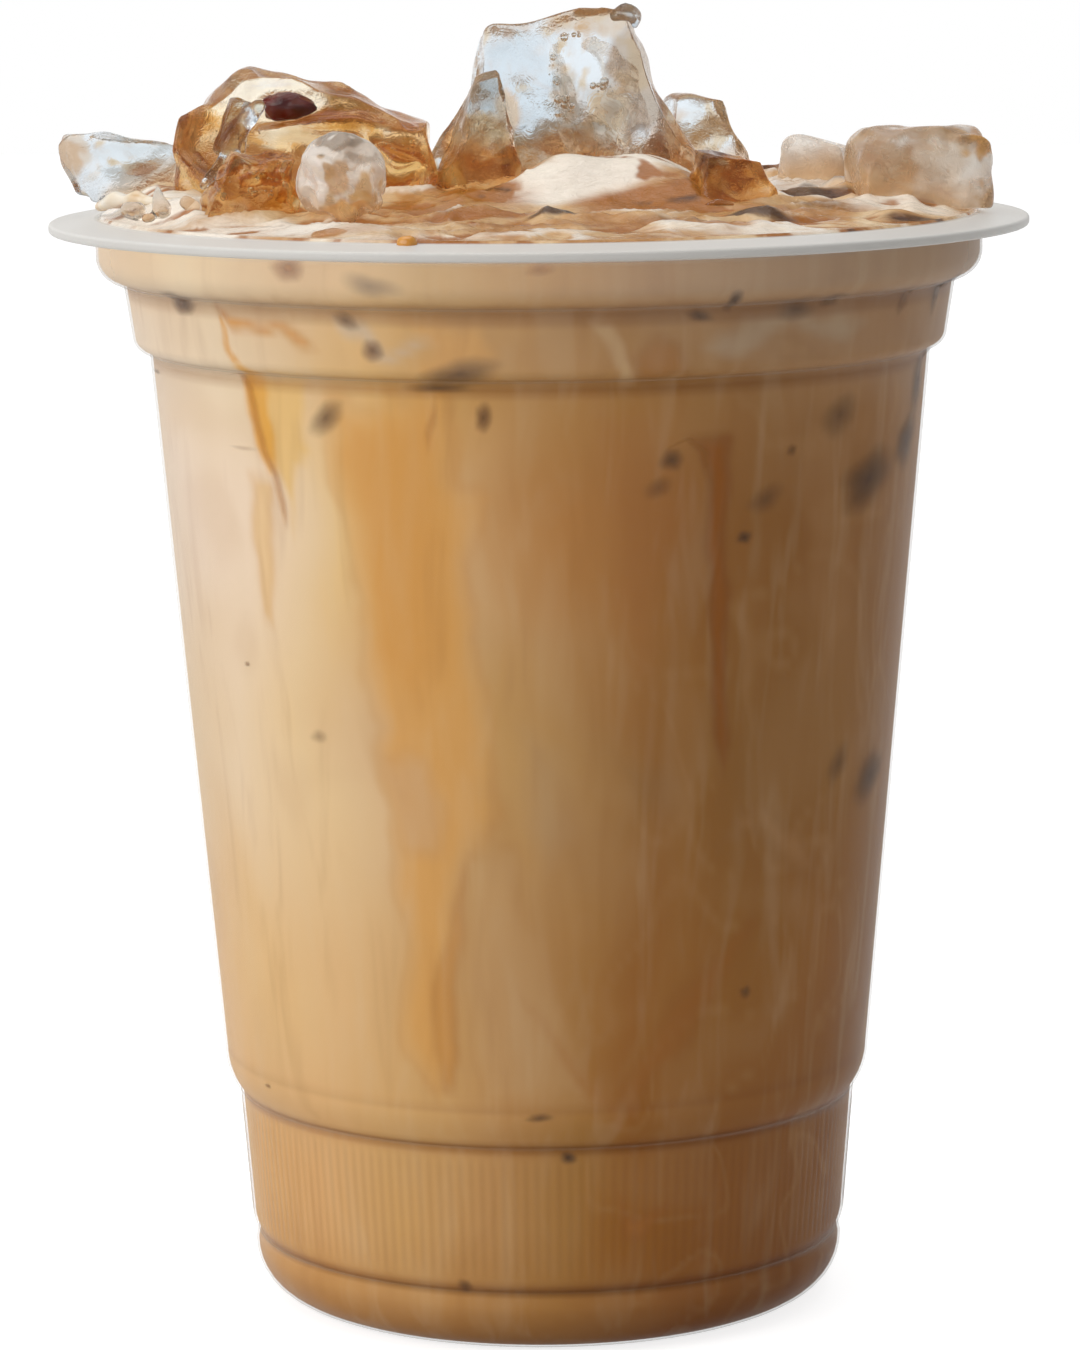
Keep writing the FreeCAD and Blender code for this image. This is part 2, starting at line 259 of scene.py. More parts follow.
def makeDrinkSide():
    material, tree, shader = newMaterial("milkyCoffee", IOR=1.35, Roughness=0.5, Specular_IOR_Level=0.1)
    where = use(tree, wallPlace)
    # the drink's colour painted on the mesh, which holds painted shade in the wall's steps and under the
    # foot
    base = layer(tree, "paint", "Color")
    # long faint curtains of milk
    curtain = cloud(tree, stretch(tree, objectPlace(tree), (1.0, 1.0, 0.16)), 300.0, 2.0, 0.6, 0.6)
    base = tint(tree, fade(tree, curtain, 0.46, 0.74, 0.0, 0.12), base, colour("E9CFA8"))
    base = tint(tree, fade(tree, curtain, 0.50, 0.24, 0.0, 0.14), base, colour("9A5E22"))
    # painted shade: dark stripes in the drink's colour stand in for the light that the ribs of the grip
    # bend in the drink behind them
    turn = calc(tree, "MULTIPLY", where["Azimuth"], cupForm["ribs"] * math.pi / 180)
    wave = calc(tree, "MULTIPLY_ADD", calc(tree, "COSINE", turn), 0.5, 0.5)
    low = fade(tree, where["Height"], *gripLook["low"])
    grip = calc(tree, "MULTIPLY", low, fade(tree, where["Height"], *gripLook["high"]))
    ribs = calc(tree, "MULTIPLY", calc(tree, "MULTIPLY", wave, grip), gripLook["shade"])
    base = tint(tree, ribs, base, colour(gripLook["tone"]), "MULTIPLY")
    feed(tree, shader.inputs["Base Color"], base)
    return material


def makeFleckLook():
    # coffee grounds and dark bubbles that lie against the inside of the wall
    material, tree, shader = newMaterial("coffeeFlecks", Roughness=0.5, Specular_IOR_Level=0.1)
    speckle = use(tree, fineGrain, Place=objectPlace(tree), Size=0.5, Depth=1.0)["Speckle"]
    dark = tint(tree, speckle, colour("4E3424"), colour("6E4E38"))
    orange = tint(tree, speckle, colour("B0681C"), colour("CC8C38"))
    feed(tree, shader.inputs["Base Color"], tint(tree, layer(tree, "tone"), dark, orange))
    feed(tree, shader.inputs["Alpha"], layer(tree, "cover"))
    return material


# the drink's open surface


def makeDrinkTop():
    material, tree, shader = newMaterial("coffeeSurface", IOR=1.35, Specular_IOR_Level=0.5)
    place = objectPlace(tree)
    flow = cloud(tree, stretch(tree, place, (0.8, 0.8, 1.0)), 80.0, 4.0, 0.5, 1.6)
    fine = cloud(tree, stretch(tree, place, (0.9, 1.3, 1.0)), 240.0, 3.0, 0.5, 1.4)
    base = ramp(tree, flow, {0.30: "94602A", 0.42: "B98650", 0.52: "CFA878", 0.66: "E2C8A2"})
    base = tint(tree, fade(tree, fine, 0.52, 0.68, 0.0, 0.4), base, colour("EAD4B2"))
    base = tint(tree, fade(tree, fine, 0.44, 0.30, 0.0, 0.4), base, colour("9A6630"))
    fray = calc(tree, "MULTIPLY", calc(tree, "SUBTRACT", fine, 0.5), 1.4)
    # cream, amber and dark layers painted on the mesh; the dark one is partly painted shade beneath the
    # folds
    for name, code in (("cream", "F2E8DA"), ("amber", "9E5E1C"), ("dark", "462A18")):
        patch = layer(tree, name)
        frayed = calc(tree, "ADD", patch, calc(tree, "MULTIPLY", fray, patch))
        base = tint(tree, fade(tree, frayed, 0.1, 0.8, 0.0, 0.92), base, colour(code))
    feed(tree, shader.inputs["Base Color"], base)
    skin = use(tree, meltSkin, Place=stretch(tree, place, (0.8, 1.5, 1.0)), Size=2.0, Folds=0.9)
    feed(tree, shader.inputs["Roughness"], fade(tree, fine, 0.3, 0.7, 0.05, 0.16))
    addBump(tree, shader, skin["Height"], 0.6, 0.3)
    return material


def makeCream():
    # thick cream that stands up in a fold
    material, tree, shader = newMaterial("cream", IOR=1.4, Specular_IOR_Level=0.6)
    place = objectPlace(tree)
    flow = cloud(tree, place, 160.0, 3.0, 0.5, 0.8)
    base = ramp(tree, flow, {0.32: "D2AE80", 0.44: "E6D4B8", 0.56: "EFE4D2", 0.66: "F4EEE4"})
    feed(tree, shader.inputs["Base Color"], base)
    skin = use(tree, meltSkin, Place=place, Size=3.0, Folds=0.4)
    feed(tree, shader.inputs["Roughness"], fade(tree, flow, 0.3, 0.7, 0.12, 0.24))
    addBump(tree, shader, skin["Height"], 0.3, 0.2)
    return material


def makeSyrup():
    # coffee gathered in drops, and the dark maroon lens in the big lump
    material, tree, shader = newMaterial("coffeePool", IOR=1.36, Specular_IOR_Level=0.7)
    place = objectPlace(tree)
    flow = cloud(tree, place, 220.0, 2.0, 0.5, 0.6)
    deep = layer(tree, "deep")
    amber = ramp(tree, flow, {0.35: "9A5A14", 0.52: "B87428", 0.68: "D0903C"})
    dark = ramp(tree, flow, {0.35: "3A0806", 0.60: "64160E"})
    feed(tree, shader.inputs["Base Color"], tint(tree, deep, amber, dark))
    feed(tree, shader.inputs["Roughness"], fade(tree, flow, 0.3, 0.7, 0.06, 0.16))
    skin = use(tree, meltSkin, Place=place, Size=1.6, Folds=0.4)
    addBump(tree, shader, skin["Height"], 0.2, 0.1)
    return material


# ice: clear where it is new, and stained where coffee has run over it

iceLooks = {
    # how clear it is, its roughness where wet and where frosted, and the strength of its brown haze
    "clearIce": {"through": 1.0, "wet": 0.03, "frosted": 0.12, "haze": 0.25},
    "stainedIce": {"through": 1.0, "wet": 0.02, "frosted": 0.05, "haze": 0.30},
    "frostedIce": {"through": 0.5, "wet": 0.12, "frosted": 0.30, "haze": 0.45},
}


def makeIce(name):
    look = iceLooks[name]
    material, tree, shader = newMaterial(name, IOR=1.31, Transmission_Weight=look["through"])
    place = objectPlace(tree)
    flow = cloud(tree, place, 380.0, 2.0, 0.6, 0.8)
    haze = fade(tree, flow, 0.5, 0.72, 0.0, look["haze"])
    base = tint(tree, haze, layer(tree, "iceTone", "Color"), colour("B89068"))
    feed(tree, shader.inputs["Base Color"], base)
    feed(tree, shader.inputs["Roughness"], fade(tree, flow, 0.42, 0.62, look["wet"], look["frosted"]))
    skin = use(tree, meltSkin, Place=place, Size=2.2, Folds=0.7)
    addBump(tree, shader, skin["Height"], 0.5, 0.3)
    return material


def makeFrost():
    # clouded ice deep inside a clear block
    material, tree, shader = newMaterial("innerFrost", Roughness=0.5)
    flow = cloud(tree, objectPlace(tree), 420.0, 3.0, 0.6, 1.4)
    base = ramp(tree, flow, {0.36: "8C6A48", 0.48: "C8AE8C", 0.60: "ECE8E0"})
    feed(tree, shader.inputs["Base Color"], base)
    facing = put(tree, "ShaderNodeLayerWeight", {"Blend": 0.4}).outputs["Facing"]
    wisp = fade(tree, flow, 0.40, 0.62, 0.04, 0.6)
    feed(tree, shader.inputs["Alpha"], calc(tree, "MULTIPLY", wisp, fade(tree, facing, 1.0, 0.4)))
    return material


def makeAir():
    # bubbles inside the ice bend light the other way
    material, tree, shader = newMaterial("airInIce", IOR=0.763, Transmission_Weight=1.0)
    speckle = use(tree, fineGrain, Place=objectPlace(tree), Size=0.4, Depth=1.0)["Speckle"]
    feed(tree, shader.inputs["Base Color"], tint(tree, speckle, colour("E8E4DC"), colour("FAFAFA")))
    feed(tree, shader.inputs["Roughness"], fade(tree, speckle, 0.4, 0.8, 0.0, 0.06))
    return material


materials = {
    "plastic": makePlastic(),
    "drinkSide": makeDrinkSide(),
    "fleck": makeFleckLook(),
    "drinkTop": makeDrinkTop(),
    "cream": makeCream(),
    "syrup": makeSyrup(),
    "clear": makeIce("clearIce"),
    "stained": makeIce("stainedIce"),
    "frosted": makeIce("frostedIce"),
    "frost": makeFrost(),
    "air": makeAir(),
}
print("materials made")


# the cup, turned from the same outline as the solid


def wallCorners(inset):
    # the wall's profile from the mouth down: radius, height, radius of the arc to it, steps
    form = cupForm
    waist, bead = math.radians(form["waistAngle"]), math.radians(form["beadAngle"])
    collarFoot = form["height"] - form["collarDepth"]
    bandFoot = collarFoot - form["bandDepth"]
    bandTop = form["mouth"] - form["collarRound"] - form["step"]
    bandLow = bandTop - form["bandDraft"]
    bodyTop = bandLow - form["bandRound"] - form["step"]
    waistTop = form["waistHeight"] + form["waistRound"] * math.sin(waist)
    bodyLow = bodyTop - (bandFoot - waistTop) * math.tan(math.radians(form["bodyDraft"]))
    gripTop = bodyLow - form["waistRound"] * (1 - math.cos(waist)) - form["step"]
    gripLow = gripTop - form["gripDraft"]
    footTop = gripLow - form["beadRound"] * (1 - math.cos(bead)) - form["step"]
    footOut = footTop + form["footBulge"]
    ring = footOut - form["footRound"]
    waistIn, beadIn = form["waistRound"] - inset, form["beadRound"] - inset
    waistZ = form["waistHeight"] + inset * math.sin(waist)
    beadZ = form["beadHeight"] + inset * math.sin(bead)
    return [
        (form["mouth"] - inset, form["height"], None, 1),
        (form["mouth"] - inset, collarFoot + form["collarRound"], None, 4),
        (form["mouth"] - form["collarRound"], collarFoot + inset, form["collarRound"] - inset, 9),
        (bandTop - inset, collarFoot + inset, None, 1),
        (bandLow - inset, bandFoot + form["bandRound"], None, 4),
        (bandLow - form["bandRound"], bandFoot + inset, form["bandRound"] - inset, 8),
        (bodyTop - inset, bandFoot + inset, None, 1),
        (bodyLow - inset, waistTop, None, 14),
        (bodyLow - form["waistRound"] + waistIn * math.cos(waist), waistZ, waistIn, 8),
        (gripTop - inset, waistZ, None, 1),
        (gripLow - inset, form["beadHeight"] + form["beadRound"] * math.sin(bead), None, 12),
        (gripLow - form["beadRound"] + beadIn * math.cos(bead), beadZ, beadIn, 5),
        (footTop - inset, beadZ, None, 1),
        (footOut - inset, form["footRound"], None, 2),
        (ring, inset, form["footRound"] - inset, 10),
        (ring - form["ringWidth"], inset, None, 1),
        (ring - form["ringWidth"] - form["recessRun"], form["recess"] + inset, None, 2),
        (0.0, form["recess"] + inset, None, 6),
    ]


def tracePath(corners):
    # the corners joined by straight runs and by arcs that bulge away from the axis
    points = [corners[0][:2]]
    for (r0, z0, _, _), (r1, z1, arc, steps) in zip(corners, corners[1:]):
        for step in range(1, steps + 1):
            t = step / steps
            if arc is None:
                points.append((r0 + (r1 - r0) * t, z0 + (z1 - z0) * t))
                continue
            half = Vector((r1 - r0, z1 - z0)) / 2
            side = Vector((-half.y, half.x)).normalized()
            side *= math.sqrt(max(arc * arc - half.length_squared, 0.0))
            middle = Vector((r0, z0)) + half
            centre = min((middle + side, middle - side), key=lambda point: point.x)
            start = math.atan2(z0 - centre.y, r0 - centre.x)
            turn = (math.atan2(z1 - centre.y, r1 - centre.x) - start + math.pi) % (2 * math.pi) - math.pi
            angle = start + turn * t
            points.append((centre.x + arc * math.cos(angle), centre.y + arc * math.sin(angle)))
    return points


def ringMesh(name, rings):
    # closed rings of points joined into a skin; a ring of one point is a pole
    count = max(len(ring) for ring in rings)
    verts, rows = [], []
    for ring in rings:
        first = len(verts)
        verts.extend(Vector(point) * mm for point in ring)
        rows.append(list(range(first, first + count)) if len(ring) > 1 else [first] * count)
    faces = []
    for upper, lower in zip(rows, rows[1:]):
        for i in range(count):
            j = (i + 1) % count
            face = [upper[i], lower[i], lower[j], upper[j]]
            faces.append([v for k, v in enumerate(face) if v != face[k - 1]])
    mesh = bpy.data.meshes.new(name)
    mesh.from_pydata(verts, [], faces)
    mesh.validate()
    mesh.shade_smooth()
    return mesh


def ringAt(radius, height, angles, relief=0.0):
    if radius < 1e-6:
        return [(0.0, 0.0, height)]
    out = radius + relief
    return np.stack([out * np.sin(angles), -out * np.cos(angles), np.full(len(angles), height)], 1)


def newPiece(name, mesh, *used):
    piece = bpy.data.objects.new(name, mesh)
    bpy.context.scene.collection.objects.link(piece)
    mesh.materials.clear()
    for key in used:
        mesh.materials.append(materials[key])
    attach(piece, "root")
    return piece


def ribRelief(radius, height, angles):
    # the fine upright ribs of the grip
    form = cupForm
    low = form["beadHeight"] + form["beadRound"] * math.sin(math.radians(form["beadAngle"])) - 1.2
    high = form["waistHeight"] - 0.4
    if radius < form["gripRadius"] or not low < height < high:
        return 0.0
    full = min(1.0, (height - low) / 1.2, (high - height) / 1.2)
    return form["ribDepth"] * full * np.cos(angles * form["ribs"])


def makeCup():
    form = cupForm
    tip = form["mouth"] + form["flange"]
    high = form["height"] - form["droop"]
    low = high - form["flangeThickness"]
    edge = form["edgeRound"]
    flange = [
        (form["mouth"] - form["wall"] + 0.15, form["height"], None, 1),
        (tip - edge, high + 0.03, None, 8),
        (tip, high - edge, edge, 4),
        (tip, low + edge, None, 2),
        (tip - edge, low, edge, 4),
        (form["mouth"] + 0.4, form["height"] - form["flangeThickness"] - 0.05, None, 6),
        (form["mouth"], form["height"] - form["flangeThickness"] - 0.45, None, 2),
    ]
    skin = tracePath(flange) + tracePath(wallCorners(0.0))[1:]
    # the drink hides the inside, so a straight run is one step there and an arc has fewer
    corners = [
        (radius, height, arc, max(1, steps // 3) if arc else 1)
        for radius, height, arc, steps in wallCorners(form["wall"])
    ]
    inside = tracePath(corners)[:0:-1]
    lip = [(form["mouth"] - form["wall"] + 0.02, form["height"] - 0.1)]
    angles = np.arange(form["columns"]) * 2 * math.pi / form["columns"]
    rings = [ringAt(r, z, angles, ribRelief(r, z, angles)) for r, z in skin + inside + lip]
    cup = newPiece("cupShell", ringMesh("cupShell", rings), "plastic")
    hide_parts("cup")
    cup.visible_shadow = False   # frosted plastic lets the light through to the drink


makeCup()
print("cup turned")


# the drink: a turned body that reaches into the wall, under a poured surface

backTones = {-180: "BE9058", -140: "D3AE80", 110: "A8743A", 150: "B07E44", 180: "BE9058"}
drinkTones = {
    # height in mm: {degrees round from the front: the drink's colour there}
    104: {**backTones, -110: "E6C8A0", -75: "F4CFA2", -48: "F6DCB4", -30: "F2CC98", -15: "E4BA7A",
        0: "DAA868", 15: "D0A270", 30: "D0A474", 50: "C69A6A", 75: "B28250"},
    97: {**backTones, -110: "E6C8A4", -75: "F8DEC0", -48: "F6DEBC", -30: "F0C688", -15: "E0AC60",
        0: "C8965A", 15: "BC8848", 30: "BA8A56", 50: "BC8E60", 75: "AA7A48"},
    80: {**backTones, -110: "E8CCAA", -75: "F6DEC6", -55: "F8DEC2", -38: "F2D2A6", -30: "F0C88A",
        -15: "DCA866", -4: "DAA86E", 8: "C48848", 22: "AA7034", 35: "A06A30", 50: "A06C38", 75: "9C6A36"},
    58: {**backTones, -110: "E4C498", -75: "EACAA0", -55: "F2D6B2", -38: "F0CE9C", -28: "E6C090",
        -12: "D0A060", 0: "BE8E54", 12: "A87238", 24: "A06C30", 38: "A06E36", 55: "A27038", 75: "966430"},
    34: {**backTones, -140: "CFA878", -110: "DCB88C", -75: "E6B67A", -55: "ECC48C", -38: "E8BC84",
        -22: "DCAE70", -8: "C89458", 4: "B68040", 14: "A86C2C", 28: "A66E2E", 45: "A46C34", 75: "8C5A26",
        110: "A0702E"},
    13: {-180: "B98A52", -140: "C89C68", -110: "D4A66C", -75: "E0AC6C", -50: "E2AE72", -30: "DAA866",
        -10: "CC985C", 4: "B68240", 16: "A6681E", 30: "A06428", 50: "9C6430", 75: "905C2C", 110: "A06A34",
        150: "AE7A42", 180: "B98A52"},
    3: {-180: "B28046", -140: "BE8E56", -110: "C8985C", -75: "C89254", -50: "CC9656", -20: "C08A4A",
        4: "B07A3A", 20: "9C6024", 50: "88501C", 75: "7E4818", 110: "96622C", 150: "A87238",
        180: "B28046"},
}
drinkStains = (
    # colour, strength, softness in mm, edge as (strength, colour), outline in (degrees round, mm up)
    ("E4A656", 0.8, 3.2, (0.14, "BC7420"), ((-32, 93), (-31, 84), (-29, 77), (-28, 70), (-29, 64),
        (-27, 58), (-25, 51), (-24.5, 43), (-26, 31), (-20.5, 25.3), (-16, 30), (-15, 40), (-12.8, 47),
        (-7.4, 54), (-8.3, 60), (-10, 68), (-9.4, 77), (-6.7, 83), (-12.5, 85), (-13.4, 93))),
    ("C8822E", 0.4, 1.0, (0.2, "A86820"), ((-19.5, 36), (-15.6, 44), (-12.6, 48), (-13.4, 40),
        (-17, 26.5), (-19.6, 26))),
    ("DC9A48", 0.45, 3.0, None, ((-30, 92), (-28, 80), (-26, 68), (-20, 62), (-14, 68), (-13, 78),
        (-16, 90))),
    ("D8AC7C", 0.6, 2.0, (0.12, "C08848"), ((-26.5, 59), (-17, 59), (-14.4, 55), (-15.5, 50), (-23, 50))),
    ("D0A470", 0.5, 2.6, (0.14, "B88040"), ((-13, 49), (-5, 51), (-2, 44), (3, 36), (7, 30), (10, 25),
        (-11, 25), (-14, 33))),
    ("F0C47A", 0.85, 1.2, None, ((-47, 94), (-35.5, 94), (-33, 87), (-37, 84.5), (-39.8, 79.5),
        (-41.5, 84), (-44.5, 88))),
    ("EAA83C", 0.85, 0.9, None, ((-46.8, 95), (-42.6, 94), (-40.6, 89), (-41.5, 85), (-44, 85),
        (-46, 88))),
    ("F0C890", 0.8, 1.0, (0.3, "D69C48"), ((-48, 84), (-43.6, 84), (-44, 76), (-46.2, 70), (-48.2, 70),
        (-47.6, 76))),
    ("A05A12", 0.85, 1.2, (0.35, "7E420C"), ((23, 88.5), (27, 88), (28.6, 78), (29.4, 68), (29.6, 60),
        (28, 56.5), (26.8, 62), (25.8, 72), (24.8, 80))),
    ("B07838", 0.45, 4.0, None, ((20, 70), (26, 70), (27, 40), (21, 28), (13, 23), (12, 30), (18, 44))),
    ("B87840", 0.35, 4.0, None, ((6, 93), (22, 93), (24, 80), (14, 66), (8, 72))),
    ("AE6C2C", 0.6, 1.8, None, ((-4, 37), (0.5, 33.5), (7, 29), (13, 24), (14, 21), (10, 24), (4, 28.5),
        (-1, 33.5))),
    ("A86626", 0.55, 2.0, (0.1, "8A5018"), ((40, 42.5), (28, 39), (18, 33), (12.5, 25), (15.5, 22.5),
        (21, 29), (30, 36))),
    ("B8712C", 0.55, 1.4, (0.2, "965414"), ((12, 16), (15, 12.4), (18, 12.2), (22, 15.5), (18, 14.6),
        (15, 14.6))),
    ("C2A078", 0.4, 3.6, None, ((-5, 62), (3, 60), (6, 52), (0, 47), (-5, 52))),
    ("8E6C46", 0.25, 3.6, None, ((10, 59), (20, 58), (22, 52), (12, 51))),
    ("BC8C5C", 0.4, 2.2, (0.16, "8E5C2C"), ((27, 50), (34, 53), (44, 50), (50, 45), (42, 46), (36, 50))),
    ("BA8A5A", 0.3, 3.0, (0.1, "8E5C2C"), ((40, 90), (52, 88), (56, 70), (48, 62), (42, 74))),
    ("DEB888", 0.6, 0.8, None, ((5.5, 99.8), (9, 99.8), (13, 93.6), (10, 93.6), (7.5, 96.5))),
    ("D2C2AE", 0.6, 1.2, None, ((-29, 100.2), (-25, 100), (-20, 97.4), (-13, 98.6), (-12, 97.6),
        (-20, 95.8), (-27, 98))),
    ("E6AC60", 0.7, 1.6, None, ((-18, 99.6), (-6, 100), (-4, 97), (-10, 94.4), (-20, 94), (-14, 97))),
    ("E8A446", 0.85, 0.7, (0.4, "C27A28"), ((-48.6, 100.4), (-42, 99.6), (-36, 99.0), (-30.5, 96.6),
        (-33, 96.2), (-38, 98.2), (-44, 98.6), (-46.4, 98.4))),
    ("E4A040", 0.85, 0.5, None, ((-48.8, 99.6), (-47.4, 99.4), (-46.4, 96.4), (-45, 94.6), (-46.6, 94.4),
        (-48, 96.8))),
    ("B4742C", 0.7, 1.4, (0.2, "965818"), ((11, 97), (15, 98.6), (20, 98), (21, 94), (13, 94))),
    ("CCB292", 0.6, 1.6, None, ((24, 99.6), (50, 99.4), (46, 96.4), (34, 97.4), (27, 95.4), (22, 97))),
    ("C89A64", 0.45, 1.0, (0.2, "9A6428"), ((30, 97), (36, 96.6), (44, 94.4), (34, 94.6))),
    ("E8BC80", 0.45, 4.0, None, ((-64, 50), (-50, 42), (-40, 30), (-48, 24), (-62, 30))),
    ("A9652A", 0.65, 2.5, (0.2, "8A5018"), ((96, 98), (106, 96), (112, 70), (110, 44), (106, 70),
        (100, 84))),
    ("C08848", 0.55, 3.0, (0.2, "9A6228"), ((128, 92), (146, 90), (142, 56), (134, 28), (130, 58))),
    ("D8A058", 0.65, 3.0, (0.2, "B87C34"), ((-162, 98), (-138, 98), (-142, 60), (-150, 34), (-154, 62))),
    ("E0A850", 0.7, 1.2, (0.3, "C88830"), ((-121, 90), (-116, 90), (-116, 72), (-118, 62), (-120, 74))),
    ("B0702C", 0.6, 2.0, (0.2, "8A5018"), ((172, 96), (178, 94), (178, 66), (174, 50), (172, 70))),
)
sideForm = {
    "wander": 1.5,         # mm that a stain's edge strays
    "wisps": 0.20,
    "wispTones": ("C89A66", "C89C6C"),
    "shade": "B08A5C",
    "under": 0.45,         # shade under the rounded foot
    # shade in the wall's steps: mm up, half width in mm, strength
    "grooves": ((100.2, 1.5, 0.55), (93.5, 0.9, 0.6), (20.7, 1.0, 0.55), (25.0, 0.8, 0.2), (6.7, 0.8, 0.5)),
}


def softStep(value, low, high):
    share = np.clip((value - low) / (high - low), 0.0, 1.0)
    return share * share * (3 - 2 * share)


def noiseAt(spots, scale, shift=0.0):
    away = Vector((shift, shift * 1.7, shift * 0.6))
    return np.array([noise.noise(Vector(spot) * scale + away) for spot in spots])


def spotsOf(mesh):
    return np.array([vertex.co / mm for vertex in mesh.vertices])


def blendIn(tones, code, mask):
    tones += (np.array(colour(code)[:3]) - tones) * mask[:, None]


def keepColours(mesh, name, tones):
    values = np.column_stack([tones, np.ones(len(tones))]).ravel()
    mesh.attributes.new(name, "FLOAT_COLOR", "POINT").data.foreach_set("color", values)


def keepValues(mesh, name, values):
    mesh.attributes.new(name, "FLOAT", "POINT").data.foreach_set("value", values)


def aroundWall(degrees):
    # degrees round the wall to millimetres along it
    return np.radians(degrees) * cupForm["mouth"] * 0.9


def insideBy(across, up, outline):
    # how far inside an outline each point is, below nought outside
    corners = [(aroundWall(azimuth), height) for azimuth, height in outline]
    near = np.full(len(across), np.inf)
    inside = np.zeros(len(across), bool)
    for (x0, y0), (x1, y1) in zip(corners, corners[1:] + corners[:1]):
        dx, dy = x1 - x0, y1 - y0
        t = np.clip(((across - x0) * dx + (up - y0) * dy) / (dx * dx + dy * dy), 0.0, 1.0)
        near = np.minimum(near, np.hypot(across - x0 - t * dx, up - y0 - t * dy))
        if y0 != y1:
            inside ^= ((y0 > up) != (y1 > up)) & (across < x0 + dx * (up - y0) / dy)
    return np.where(inside, near, -near)


def sideTones(azimuth, height):
    # the colours of drinkTones, blended round the wall and up it
    levels = sorted(drinkTones)
    tones = []
    for level in levels:
        stops = sorted(drinkTones[level])
        rgb = np.array([colour(drinkTones[level][stop])[:3] for stop in stops])
        tones.append(np.stack([np.interp(azimuth, stops, rgb[:, k]) for k in range(3)], 1))
    where = np.interp(height, levels, range(len(levels)))
    lower = np.clip(where.astype(int), 0, len(levels) - 2)
    share = softStep(where - lower, 0.0, 1.0)[:, None]
    tones, index = np.stack(tones), np.arange(len(height))
    return tones[lower, index] * (1 - share) + tones[lower + 1, index] * share


def paintSide(mesh):
    # the drink's colour, as it is seen through the wall, with painted shade in the wall's steps and under
    # the foot
    form = sideForm
    spots = spotsOf(mesh)
    azimuth = np.degrees(np.arctan2(spots[:, 0], -spots[:, 1]))
    height = spots[:, 2]
    broad = noiseAt(spots, 0.045, 3.0)
    mid = noiseAt(spots, 0.13, 9.0)
    fine = noiseAt(spots, 0.4, 5.0)
    wave = (azimuth + broad * 9 + mid * 3 + 180) % 360 - 180
    paint = sideTones(wave, height + mid * 3)
    # wisps of milk that curl through the darker side
    bent = spots * (1.0, 1.0, 0.7) + np.stack([broad * 14, mid * 6, broad * 10], 1)
    curl = noiseAt(bent, 0.10, 21.0)
    lineTone, cloudTone = form["wispTones"]
    line = np.exp(-((curl - 0.05) / 0.035) ** 2) * softStep(wave, -30.0, 25.0)
    blendIn(paint, lineTone, line * form["wisps"])
    blendIn(paint, cloudTone, softStep(curl, 0.0, 0.5) * 0.8 * form["wisps"])
    # stains, whose edges stray a little
    across = aroundWall(azimuth) + (mid * 1.1 + fine * 0.35) * form["wander"]
    up = height + (noiseAt(spots, 0.16, 31.0) * 1.2 + fine * 0.4) * form["wander"]
    for code, strength, soft, edge, outline in drinkStains:
        depth = insideBy(across, up, outline)
        blendIn(paint, code, softStep(depth, -soft * 0.3, soft) * strength)
        if edge:
            edgeStrength, edgeCode = edge
            blendIn(paint, edgeCode, np.exp(-((depth - 0.3) / 0.55) ** 2) * edgeStrength)
    # painted shade: darker under the rounded foot and in the wall's steps
    shade = form["under"] * softStep(height, 7.0, 0.3)
    for level, half, strength in form["grooves"]:
        shade = np.maximum(shade, strength * softStep(np.abs(height - level), half, half * 0.15))
    paint *= 1 + (np.array(colour(form["shade"])[:3]) - 1) * shade[:, None]
    keepColours(mesh, "paint", paint)


